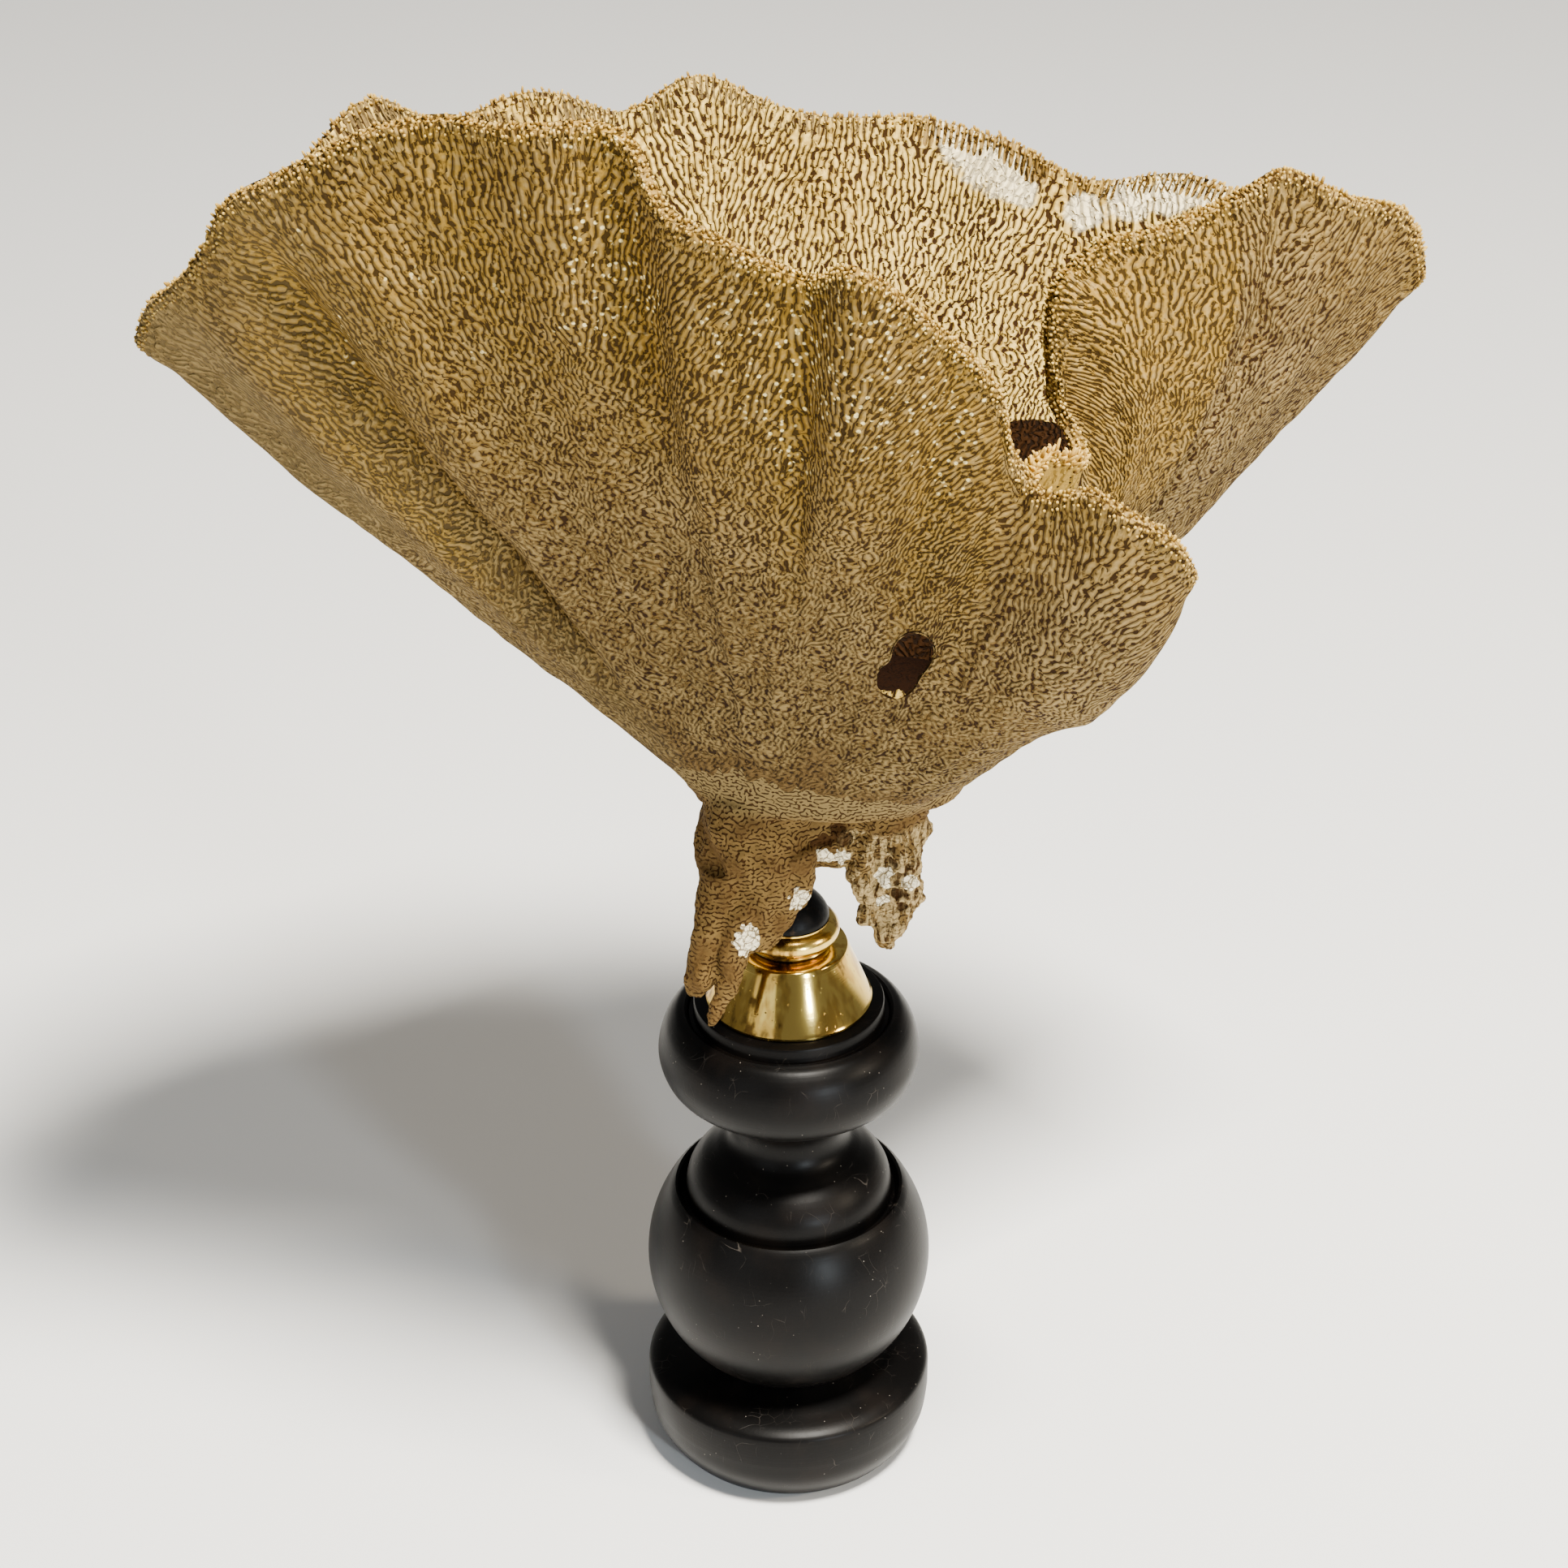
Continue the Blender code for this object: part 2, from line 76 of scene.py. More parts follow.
# The rim, clockwise as seen from below: the bearing in which the wall leaves the root, in degrees from +X,
# and the place of the rim (x, y, z)
RIM = [
    # left tip and the tall front wall
    (180, -171, -15, 389), (186, -167, -30, 406), (192, -150, -46, 427), (198, -139, -54, 445),
    (205, -115, -62, 460), (213, -90, -68, 469), (221, -64, -74, 472), (229, -41, -80, 468),
    (237, -25, -88, 454), (246, 1, -94, 437), (255, 16, -100, 447), (263, 34, -98, 429),
    (271, 51, -90, 410), (278, 56, -84, 388),
    # front lobe, out to its tip and back behind itself
    (284, 64, -86, 379), (289, 75, -92, 382), (294, 86, -96, 375), (299, 98, -94, 368),
    (304, 103, -84, 355), (308, 99, -70, 347), (312, 89, -61, 349), (316, 77, -57, 353), (319, 67, -54, 358),
    # tuft at the bottom of the pleat
    (322, 61, -47, 359), (325, 62, -39, 362), (328, 69, -32, 363), (331, 77, -27, 358),
    # right lobe, up its free edge and out to the right tip
    (334, 77, -20, 363), (339, 71, -17, 374), (344, 68, -18, 390), (349, 70, -19, 407), (353, 80, -14, 414),
    (357, 98, -8, 417), (361, 122, 0, 426), (365, 133, 4, 428), (370, 148, 12, 421),
    (375, 168, 26, 409), (381, 178, 44, 384),
    # back wall, from right to left
    (389, 166, 66, 382), (397, 150, 84, 384), (406, 131, 99, 386), (415, 112, 108, 388),
    (425, 86, 114, 385), (435, 64, 118, 395), (444, 45, 120, 401), (455, 20, 118, 401),
    (466, -5, 115, 408), (477, -28, 106, 418), (487, -50, 96, 413), (498, -75, 84, 421),
    (509, -98, 70, 420), (519, -118, 58, 428), (528, -136, 45, 417), (535, -154, 30, 404),
]

# How far the wall bows out a little above half way, away from the straight line between root and rim:
# bearing, (x, y, z)
BELLY = [
    (180, -2, 0, -1), (213, -2, -5, -3), (255, 0, -7, -4), (284, 3, -8, -8), (297, 5, -9, -9),
    (305, 6, -6, -9), (312, 4, 0, -5), (320, 2, 2, 0), (328, 2, 3, 2), (333, 7, 1, 10), (338, 18, 2, 9),
    (344, 29, 4, 6), (350, 33, 5, 6), (357, 27, 6, 6), (363, 20, 6, 6), (371, 13, 4, 4), (381, 0, 0, -2),
    (420, 3, 7, -3), (480, -2, 8, -4), (525, -4, 4, -3),
]

# Folds down the wall: bearing, half width in degrees, depth (inward is positive), and where it begins and
# ends between root (0) and rim (1)
FOLDS = [
    (196.5, 2.6, 8.0, 0.12, 0.98),
    (190.5, 2.6, -3.5, 0.15, 0.98),
    (203.0, 3.0, -3.0, 0.40, 1.00),
    (214.0, 3.5, 2.5, 0.55, 1.10),
    (221.0, 3.5, -2.5, 0.50, 1.10),
    (228.0, 3.5, 4.5, 0.50, 1.10),
    (236.5, 3.5, -3.5, 0.50, 1.10),
    (247.0, 4.0, 5.0, 0.40, 1.10),
    (256.5, 4.0, -5.0, 0.45, 1.10),
    (267.0, 3.0, 3.0, 0.40, 1.10),
    (303.0, 9.0, 4.0, 0.10, 0.60),
    (368.0, 3.0, -3.0, 0.35, 1.10),
    (440.0, 7.0, -4.0, 0.40, 1.10),
    (458.0, 7.0, 4.0, 0.40, 1.10),
    (492.0, 8.0, 4.0, 0.40, 1.10),
    (512.0, 6.0, -3.0, 0.40, 1.10),
]
RIM_WAVE = 1.2                  # how far the rim's edge runs up and down
RIM_WAVES = 23                  # waves round the rim
COARSE_AROUND = 120             # samples of the wall's evened normals
COARSE_ALONG = 10
EVENED = 2
WALL_ROWS = 150                 # samples of each visible side from root to rim
SHEET_INSET = 0.12              # how far both sheets are moved against the outward normal
FOLD_CLIMB = (0.3, 0.12)        # how softly a fold begins and ends
RIM_SAMPLES = 3600              # round the rim, about five to a tooth
FRINGE_START = 0.945            # where the rim's band begins, between root and rim
TUFT_BEARINGS = (316, 335)      # where the rim is the tuft in the pleat
FRINGE_SEED = 5                 # random draws of the rim's teeth
FINGER_SEED = 11                # random draws of its little fingers

# The kidney-shaped hole through the front wall
HOLE_CENTRE = (30.8, -59.6, 313.4)
HOLE_RADIUS = 7.4
HOLE_STRETCH = 2.2
HOLE_LEAN = 60.0
HOLE_TILT = 62.0
HOLE_REACH = 15.0               # how far to either side of its centre the hole goes

# Holdfast: each limb is a run of rounded sections, (x, y, z) of the middle, then half widths along X and Y.
# The solid has all of them but the last, the web beside the arch.
LIMBS = {
    "root block": [(9, 2, 252, 26, 13), (8, 0, 242, 26, 14), (8, -3, 233, 22, 12), (9, -5, 225, 17, 9),
                   (10, -6, 219, 11, 6)],
    "left prong": [(-8, -11, 247, 15, 13), (-10, -11, 238, 16.5, 14), (-10, -12, 228, 16.5, 14),
                   (-10, -14, 218, 15.5, 12), (-10, -18, 209, 12, 8), (-9, -20, 203, 8, 6),
                   (-9, -21, 199, 5, 4)],
    "left finger": [(-18, -18, 224, 7, 7), (-22, -21, 210, 5.5, 6), (-25, -25, 199, 5, 5),
                    (-26.5, -27, 191, 4.2, 4.4), (-27, -28, 186, 2.4, 2.6)],
    "thin finger": [(-14, -21, 212, 6, 6), (-16, -25, 201, 5, 4.5), (-17, -28, 192, 4, 3.5),
                    (-20, -30, 184, 2.8, 2.8), (-23, -31, 177, 1.4, 1.5)],
    "inner flap": [(0, -15, 230, 8, 8), (2, -17, 220, 6, 5.5), (3, -18, 214, 3.4, 3.4),
                   (3, -18, 210, 1.5, 1.6)],
    "right prong": [(27, -3, 246, 15, 13), (28, -4, 234, 12.5, 12), (29.5, -5, 223, 11, 9),
                    (31, -6, 212, 9, 8), (31, -7, 202, 7, 6.5), (30, -8, 195, 4.6, 5),
                    (29, -8, 190, 2.4, 2.6)],
    "right spur": [(27, -9, 218, 5, 5), (24.5, -11, 208, 4, 4), (23.5, -12, 201, 2, 2)],
    "arch web": [(18, -7, 232, 7, 7), (19, -8, 226, 6, 6.5), (21.5, -9, 219, 5.5, 5.5),
                 (25, -10, 211, 4, 4.5), (27, -10, 205, 2.5, 3)],
}
LIMB_SIDES = 18
KNOB_WIDTH = 1.35               # of the small cells on the holdfast
MELT_VOXEL = 0.62               # how finely the limbs are melted together
NECK_TOP = 0.17                 # how far up the wall the holdfast's plug goes
NECK_AROUND = 90                # samples round it
SPIKE_CLEARANCE = 0.6

# Stand, from the floor up
GAP = 0.3
FOOT_RADIUS = 34.5
BASE_RADIUS = 45.0
BASE_TOP = 36.0
BALL_RADIUS = 44.4
BALL_CENTRE = 70.8
SHOULDER_RADIUS = 36.0
DOME_RADIUS = 32.2
NECK_RADIUS = 17.2
BULB_RADIUS = 39.8
BULB_CENTRE = 147.0
STEP_RADIUS = 29.0
PEDESTAL_TOP = 166.5
CONE_FOOT_RADIUS = 25.2
CONE_TOP_RADIUS = 18.0
CONE_HEIGHT = 19.6
CONE_RECESS_RADIUS = 12.6
BEAD_RADIUS = 15.2
BEAD_NECK_RADIUS = 12.2
BEAD_BULGE = 3.6
BEAD_HEIGHT = 9.0
TIP_RADIUS = 12.0
TIP_HEIGHT = 11.5
PIN_RADIUS = 1.6
PIN_TOP = 231.0
TURNED_SIDES = 160

# Places on the sponge that look unlike the rest, as (x, y, z, radius). The crevices are pushed in and
# darkened with painted shade. The hollows inside the cup, where painted shade darkens the wall, have a half
# width and a half height in place of the radius.
CRUSTS = [(52, 120, 396, 9), (58, 118, 390, 9), (65, 114, 385, 8), (70, 111, 381, 5), (88, 108, 376, 6),
          (101, 106, 381, 7), (114, 103, 384, 7), (125, 99, 385, 6)]
CHALK = [(2.5, -21, 215, 3.0), (-12.4, -27, 204, 4.0), (10, -14, 225, 2.8), (15, -13, 225, 2.4),
         (28, -14, 218, 2.6), (35.5, -12, 215, 2.2), (27, -13, 209, 2.0)]
CREVICES = [(8, -15, 230, 1.8), (11, -14.5, 231, 2.0), (14, -14.5, 233, 2.4), (17, -14, 231, 1.8),
            (29.5, -15.5, 227, 1.5), (30.5, -15, 222, 1.7), (31.5, -14.5, 217, 1.7), (32.5, -14, 212, 1.7),
            (33.5, -13, 207, 1.5)]
SHADED_HOLLOWS = [(74, 68, 312, 19, 11.5), (36, 22, 262, 24, 26)]

# The maze of ridges: the girth in millimetres where its first band begins, and how much wider each next one
# begins
LEAST_GIRTH = 60.0
WIDENING = 1.42
BAND_SHIFT = 37.0               # how far each band's pattern is from the next one's


def length_setting(name, description, default, least=0.0):
    """A length, given in millimetres."""
    return FloatProperty(name=name, description=description, default=default * MM, min=least * MM,
                         unit="LENGTH", subtype="DISTANCE")


def colour_setting(name, description, default):
    """A colour."""
    return FloatVectorProperty(name=name, description=description, default=default, size=3, min=0.0,
                               max=1.0, subtype="COLOR")


def power_setting(name, description, default):
    """The power of a light in watts."""
    return FloatProperty(name=name, description=description, default=default, min=0.0, unit="POWER")


class SpongeSettings(bpy.types.PropertyGroup):
    """Sizes and colours of the sponge."""
    cell_width: length_setting("Cell width", "Width of one ridge with its groove", 1.8, 0.5)
    ridge_height: length_setting("Ridge height", "How far the ridges stand over the grooves", 0.95)
    tooth_pitch: length_setting("Tooth pitch", "Distance between the rim's teeth", 2.0, 0.5)
    tooth_height: length_setting("Tooth height", "How far the rim's teeth stand up", 1.9)
    samples_around: IntProperty(
        name="Samples round the cup", description="Faces round each side of the wall", default=620, min=120)
    straw: colour_setting("Straw", "Colour of the ridges", (0.218, 0.149, 0.056))
    cream: colour_setting("Cream", "Colour of the ridges inside the cup", (0.62, 0.44, 0.115))
    golden: colour_setting("Golden", "Colour of the rim's translucent teeth", (0.285, 0.162, 0.020))
    groove: colour_setting("Groove", "Colour of the grooves", (0.022, 0.009, 0.0022))
    root_brown: colour_setting("Root brown", "Colour of the holdfast", (0.130, 0.072, 0.021))
    chalk: colour_setting("Chalk", "Colour of the limy crusts", (0.98, 0.87, 0.60))


class StandSettings(bpy.types.PropertyGroup):
    """Colours of the stand."""
    ebony: colour_setting("Ebonised wood", "Colour of the stained wood", (0.0014, 0.0012, 0.0011))
    brass: colour_setting("Brass", "Colour of the polished brass", (0.80, 0.56, 0.135))
    # also used for the deep brown stripes of the brass's painted reflections
    tarnish: colour_setting("Tarnish", "Colour of the brown tarnish", (0.10, 0.042, 0.010))


class StageSettings(bpy.types.PropertyGroup):
    """Light and floor."""
    key_power: power_setting("Key light", "Power of the light high up at the front right", 172.0)
    fill_power: power_setting("Fill light", "Power of the wide light at the front left; the two small ones "
                              "at the right follow it", 7.0)
    sky: FloatProperty(name="Sky", description="Strength of the even light all round", default=0.20, min=0.0)
    floor_colour: colour_setting("Floor", "Colour of the floor", (0.80, 0.80, 0.79))


class Wire:
    """A node's output that takes part in Python expressions."""

    def __init__(self, paint, socket):
        self.paint = paint
        self.socket = socket

    def wide(self):
        """Whether it carries a vector or a colour."""
        return self.socket.type in ("VECTOR", "RGBA")

    def join(self, operation, first, second):
        """A Math or Vector Math node for two operands."""
        wide = any(isinstance(item, Wire) and item.wide() for item in (first, second))
        wide = wide or any(isinstance(item, (tuple, list)) for item in (first, second))
        if not wide:
            return self.paint.reckon(operation, first, second)
        if operation == "MULTIPLY" and isinstance(second, (int, float)):
            return self.paint.add("ShaderNodeVectorMath", {"operation": "SCALE"}, {0: first, "Scale": second})
        if operation == "MULTIPLY" and isinstance(second, Wire) and not second.wide():
            return self.paint.add("ShaderNodeVectorMath", {"operation": "SCALE"}, {0: first, "Scale": second})
        return self.paint.add("ShaderNodeVectorMath", {"operation": operation}, {0: first, 1: second})

    def __add__(self, other):
        return self.join("ADD", self, other)

    def __radd__(self, other):
        return self.join("ADD", other, self)

    def __sub__(self, other):
        return self.join("SUBTRACT", self, other)

    def __rsub__(self, other):
        return self.join("SUBTRACT", other, self)

    def __mul__(self, other):
        return self.join("MULTIPLY", self, other)

    def __rmul__(self, other):
        return self.join("MULTIPLY", self, other)

    def __truediv__(self, other):
        return self.join("DIVIDE", self, other)

    def __pow__(self, other):
        return self.join("POWER", self, other)

    def __rpow__(self, other):
        return self.join("POWER", other, self)


class Paint:
    """One material and the nodes that are added to it."""

    def __init__(self, name):
        self.material = bpy.data.materials.new(name)
        self.material.use_nodes = True
        self.tree = self.material.node_tree
        self.shader = self.tree.nodes["Principled BSDF"]

    def plug(self, socket, value):
        """Links a wire to a socket, or sets the socket to a plain value."""
        if isinstance(value, Wire):
            self.tree.links.new(value.socket, socket)
        elif socket.type == "RGBA" and len(value) == 3:
            socket.default_value = (*value, 1.0)
        else:
            socket.default_value = value

    def add(self, kind, settings=None, values=None, output=0):
        """Adds a node of any type: its settings first, then the values or links of its sockets."""
        node = self.tree.nodes.new(kind)
        for key, setting in (settings or {}).items():
            if key == "stops":
                ramp = node.color_ramp
                while len(ramp.elements) < len(setting):
                    ramp.elements.new(1.0)
                for element, (position, colour) in zip(ramp.elements, setting):
                    element.position = position
                    element.color = (*colour, 1.0)
            else:
                setattr(node, key, setting)
        for key, value in (values or {}).items():
            self.plug(node.inputs[key], value)
        return Wire(self, node.outputs[output])

    def set(self, **values):
        """Values or links of the material's own shader; underscores stand for spaces."""
        for key, value in values.items():
            self.plug(self.shader.inputs[key.replace("_", " ")], value)

    def place(self):
        """The place on the object in millimetres."""
        return self.add("ShaderNodeTexCoord", output="Object") * 1000.0

    def attribute(self, name):
        """A vector that is stored on the mesh."""
        return self.add("ShaderNodeAttribute", {"attribute_name": name}, output="Vector")

    def parts(self, vector):
        """The three numbers of a vector."""
        first = self.add("ShaderNodeSeparateXYZ", values={0: vector})
        return [Wire(self, first.socket.node.outputs[index]) for index in range(3)]

    def vector(self, x, y, z):
        """A vector from three numbers."""
        return self.add("ShaderNodeCombineXYZ", values={0: x, 1: y, 2: z})

    def noise(self, place, size, detail=2.0, roughness=0.5, colour=False):
        """Noise from 0 to 1 with features of about the given size."""
        return self.add("ShaderNodeTexNoise", {"noise_dimensions": "3D"}, {
            "Vector": place, "Scale": 1.0 / size, "Detail": detail, "Roughness": roughness,
        }, "Color" if colour else "Fac")

    def edges(self, place):
        """Distance to the borders of cells about one unit wide."""
        return self.cells("DISTANCE_TO_EDGE", place)

    def dots(self, place):
        """Distance to the nearest of points about one unit apart."""
        return self.cells("F1", place)

    def cells(self, feature, place):
        """A distance in a pattern of cells about one unit wide."""
        values = {"Vector": place, "Scale": 1.0}
        return self.add("ShaderNodeTexVoronoi", {"feature": feature}, values, "Distance")

    def step(self, value, low, high):
        """0 below the low value, 1 above the high one and a soft change between."""
        return self.add("ShaderNodeMapRange", {"interpolation_type": "SMOOTHSTEP"}, {
            "Value": value, "From Min": low, "From Max": high,
        })

    def reckon(self, operation, *values):
        """A Math node with its operands."""
        return self.add("ShaderNodeMath", {"operation": operation}, dict(enumerate(values)))

    def most(self, first, second):
        """The larger of two values."""
        return self.reckon("MAXIMUM", first, second)

    def ridges(self, kind, place, pitch, **values):
        """A maze of ridges a pitch apart, from 0 in a groove to a half on a ridge."""
        values = {"Vector": place, "Scale": 0.5 / pitch, "Frequency": 2.0, **values}
        phase = self.add("ShaderNodeTexGabor", {"gabor_type": kind}, values, "Phase")
        return self.reckon("ABSOLUTE", phase - 0.5)

    def mix(self, amount, first, second):
        """A colour between two."""
        return self.add("ShaderNodeMix", {"data_type": "RGBA"}, {0: amount, 6: first, 7: second}, 2)

    def bump(self, height, depth, below=None):
        """A normal from a height of 0 to 1 that is so many millimetres deep."""
        values = {"Height": height, "Distance": depth * MM, "Strength": 1.0}
        if below:
            values["Normal"] = below
        return self.add("ShaderNodeBump", values=values, output="Normal")


def ease(value):
    """0 to 1 with a soft start and end."""
    value = np.clip(value, 0.0, 1.0)
    return value * value * (3 - 2 * value)


def between(value, start, end, soft):
    """1 between two values and 0 outside them, with soft edges."""
    return ease((value - start) / soft) * ease((end - value) / soft)


def unit(vectors):
    """Vectors along the last axis, made one long."""
    return vectors / np.maximum(np.linalg.norm(vectors, axis=-1, keepdims=True), 1e-9)


def lumps(places, size, seed=0):
    """Smooth noise from -1 to 1 at places in millimetres, with lumps of about the given size."""
    spot = places / size + 17.3 * seed
    cell = np.floor(spot).astype(np.int64)
    part = ease(spot - cell)
    total = np.zeros(places.shape[:-1])
    for corner in range(8):
        step = np.array([(corner >> axis) & 1 for axis in range(3)])
        share = np.prod(np.where(step == 1, part, 1 - part), axis=-1)
        mixed = (cell + step) @ np.array([73856093, 19349663, 83492791])
        mixed = (mixed ^ (mixed >> 13)) * 1274126177 & 0x7FFFFFFF
        mixed = (mixed ^ (mixed >> 15)) & 0xFFFF
        total += share * (mixed / 32767.5 - 1)
    return total


def closed_curve(rows, steps):
    """Rows read at even steps along the smooth closed curve through them. The first column is a bearing,
    which grows by 360 over one round, and columns 1 to 3 are a place. A long span gets fewer steps for its
    length."""
    rows = np.array(rows, float)
    count = len(rows)
    turn = np.zeros(rows.shape[1])
    turn[0] = 360.0
    fine = 40
    found, shares = [], []
    for index in range(count):
        near = [rows[(index + k) % count] + turn * ((index + k) // count) for k in (-1, 0, 1, 2)]
        length = np.linalg.norm(near[2][1:4] - near[1][1:4])
        for step in range(fine):
            u = step / fine
            weights = ((-u + 2 * u ** 2 - u ** 3) / 2, (2 - 5 * u ** 2 + 3 * u ** 3) / 2,
                       (u + 4 * u ** 2 - 3 * u ** 3) / 2, (-u ** 2 + u ** 3) / 2)
            found.append(sum(weight * row for weight, row in zip(weights, near)))
            shares.append(length ** 0.6 / fine)
    found.append(found[0] + turn)
    along = np.concatenate([[0.0], np.cumsum(shares)])
    wanted = np.linspace(0.0, along[-1], steps, endpoint=False)
    found = np.array(found)
    return np.stack([np.interp(wanted, along, found[:, column]) for column in range(rows.shape[1])], axis=1)


def with_belly(rim):
    """The rim's rows with the wall's bow added to each as three more columns."""
    belly = np.array(BELLY + [(BELLY[0][0] + 360, *BELLY[0][1:])], float)
    return [(*row, *(np.interp(row[0], belly[:, 0], belly[:, k]) for k in (1, 2, 3))) for row in rim]


def grid_normals(grid, rounds=0):
    """Outward normals of a grid of places that is closed round its first axis, evened out."""
    round_it = np.roll(grid, -1, axis=0) - np.roll(grid, 1, axis=0)
    up_it = np.gradient(grid, axis=1)
    normals = unit(np.cross(round_it, up_it))
    for _ in range(rounds):
        normals = unit(np.roll(normals, -1, axis=0) + 2 * normals + np.roll(normals, 1, axis=0))
    return normals


def plain_wall(around, heights):
    """The middle of the wall without its folds: bearings, and places [around, heights, xyz]."""
    rim = closed_curve(with_belly(RIM), around)
    bearing = rim[:, 0]
    turn = np.radians(bearing)
    root = np.stack([
        ROOT_CENTRE[0] + ROOT_RADII[0] * np.cos(turn),
        ROOT_CENTRE[1] + ROOT_RADII[1] * np.sin(turn),
        np.full(around, ROOT_CENTRE[2]),
    ], axis=1)
    aside = root[:, :2] - np.array(ROOT_CENTRE[:2])
    root[:, 2] += ROOT_SLOPE[0] * aside[:, 0] + ROOT_SLOPE[1] * aside[:, 1]
    edge = rim[:, 1:4].copy()
    edge[:, 2] += RIM_WAVE * np.sin(RIM_WAVES * np.linspace(0, math.tau, around, endpoint=False))
    height = np.asarray(heights)[None, :, None]
    bow = height ** 1.5 * (1 - height) / (0.6 ** 1.5 * 0.4)
    return bearing, root[:, None] + (edge - root)[:, None] * height + rim[:, None, 4:7] * bow


def fold_depths(bearing, heights):
    """How far the folds push the wall outwards."""
    push = np.zeros((len(bearing), len(heights)))
    for middle, half, depth, start, end in FOLDS:
        across = np.exp(-((((bearing - middle + 180) % 360) - 180) / half) ** 2)[:, None]
        climb = ease((heights - start) / FOLD_CLIMB[0]) * ease((end - heights) / FOLD_CLIMB[1] + 1e-9)
        push -= depth * across * climb[None, :]
    return push


def finer(values, around, heights):
    """A coarse grid's vectors read at more samples round the cup and at the given heights."""
    there = np.arange(around) * len(values) / around
    first = np.floor(there).astype(int)
    part = (there - first)[:, None, None]
    across = values[first % len(values)] * (1 - part) + values[(first + 1) % len(values)] * part
    row = np.asarray(heights) * (values.shape[1] - 1)
    low = np.clip(np.floor(row).astype(int), 0, values.shape[1] - 2)
    part = (row - low)[None, :, None]
    return unit(across[:, low] * (1 - part) + across[:, low + 1] * part)


def coarse_normals():
    """Normals of the wall before and after folding, as the solid has them."""
    heights = np.linspace(0.0, 1.0, COARSE_ALONG + 1)
    bearing, grid = plain_wall(COARSE_AROUND, heights)
    before = grid_normals(grid)
    folded = grid + before * fold_depths(bearing, heights)[:, :, None]
    return before, grid_normals(folded, EVENED)


def wall(around, heights):
    """The middle of the folded wall at any fineness: bearings, places and outward normals."""
    before, after = coarse_normals()
    bearing, grid = plain_wall(around, heights)
    grid = grid + finer(before, around, heights) * fold_depths(bearing, heights)[:, :, None]
    return bearing, grid, finer(after, around, heights)


def half_thickness(heights):
    """Half the wall's thickness at heights between root and rim."""
    return 0.5 * (WALL_AT_ROOT + (WALL_AT_RIM - WALL_AT_ROOT) * np.asarray(heights) ** 0.6)


def new_object(name, mesh_data, finish):
    """An object in the scene for a mesh."""
    thing = bpy.data.objects.new(name, mesh_data)
    bpy.context.scene.collection.objects.link(thing)
    if finish:
        mesh_data.materials.append(finish)
    return thing


def mesh_object(name, places, faces, finish, vectors=None):
    """A smooth mesh from places in millimetres and faces, with vectors stored on its vertices."""
    mesh_data = bpy.data.meshes.new(name)
    mesh_data.from_pydata(np.asarray(places) * MM, [], faces)
    for key, values in (vectors or {}).items():
        stored = mesh_data.attributes.new(key, "FLOAT_VECTOR", "POINT")
        stored.data.foreach_set("vector", np.ascontiguousarray(values, np.float32).ravel())
    mesh_data.shade_smooth()
    return new_object(name, mesh_data, finish)


def belongs(piece, node):
    """Hangs a piece under the root's body and hides the imported part of the given node."""
    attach(piece, "root")
    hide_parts(node)


def grid_faces(around, rows):
    """Faces of a grid that is closed round its first axis, facing out where the rows climb."""
    index = np.arange(around)
    after = (index + 1) % around
    faces = []
    for row in range(rows - 1):
        faces.append(np.stack([index * rows + row, after * rows + row, after * rows + row + 1,
                               index * rows + row + 1], axis=1))
    return np.concatenate(faces)


def ripple(places, bearing, heights):
    """Gentle unevenness of the wall: swells, lumps and corrugations that run from root to rim."""
    swell = 1.1 * lumps(places, 34.0, 1) + 0.6 * lumps(places, 13.0, 2) + 0.28 * lumps(places, 5.0, 3)
    ridges = np.stack([np.broadcast_to(np.radians(bearing)[:, None] * 26.0, places.shape[:2]),
                       np.broadcast_to(heights[None, :] * 2.5, places.shape[:2]),
                       np.zeros(places.shape[:2])], axis=-1)
    return ease(heights / 0.25)[None, :] * (swell + 0.7 * lumps(ridges, 1.0, 4))


def outer_zones(bearing, heights):
    """Where painted glints go on the outside of the wall, where its maze is faint, and where it is part of
    the tuft.
    """
    angle = bearing[:, None] % 360
    height = heights[None, :]
    glint_zone = ease((height - 0.50) / 0.3) * ease((angle - 181) / 12) * ease((276 - angle) / 10)
    dense = np.exp(-((angle - 227) / 6) ** 2 - ((height - 0.84) / 0.12) ** 2)
    dense = dense + 0.9 * ease((angle - 234) / 10) * ease((height - 0.66) / 0.2)
    tuft = between(angle, *TUFT_BEARINGS, 4) * ease((height - 0.84) / 0.06)
    calm = ease((192 - angle) / 5) * ease((height - 0.45) / 0.2) * 0.75
    calm = np.maximum(calm, ease((206 - angle) / 8) * 0.3) * (angle > 90)
    return np.stack([glint_zone * (0.40 + 0.60 * np.minimum(dense, 1.0)), calm, tuft], axis=-1)


def inner_zones(places):
    """Where the inside of the wall is crusted, and where painted shade darkens its hollows."""
    crust = np.zeros(places.shape[:2])
    for x, y, z, radius in CRUSTS:
        reach = np.linalg.norm(places - np.array([x, y, z]), axis=-1) / radius
        crust = np.maximum(crust, ease(1.5 - reach))
    hollow = np.zeros_like(crust)
    for x, y, z, wide, tall in SHADED_HOLLOWS:
        reach = np.linalg.norm((places - np.array([x, y, z])) / np.array([wide, wide, tall]), axis=-1)
        hollow = np.maximum(hollow, ease((1.12 - reach) / 0.16))
    return np.stack([np.zeros_like(crust), crust, hollow], axis=-1)


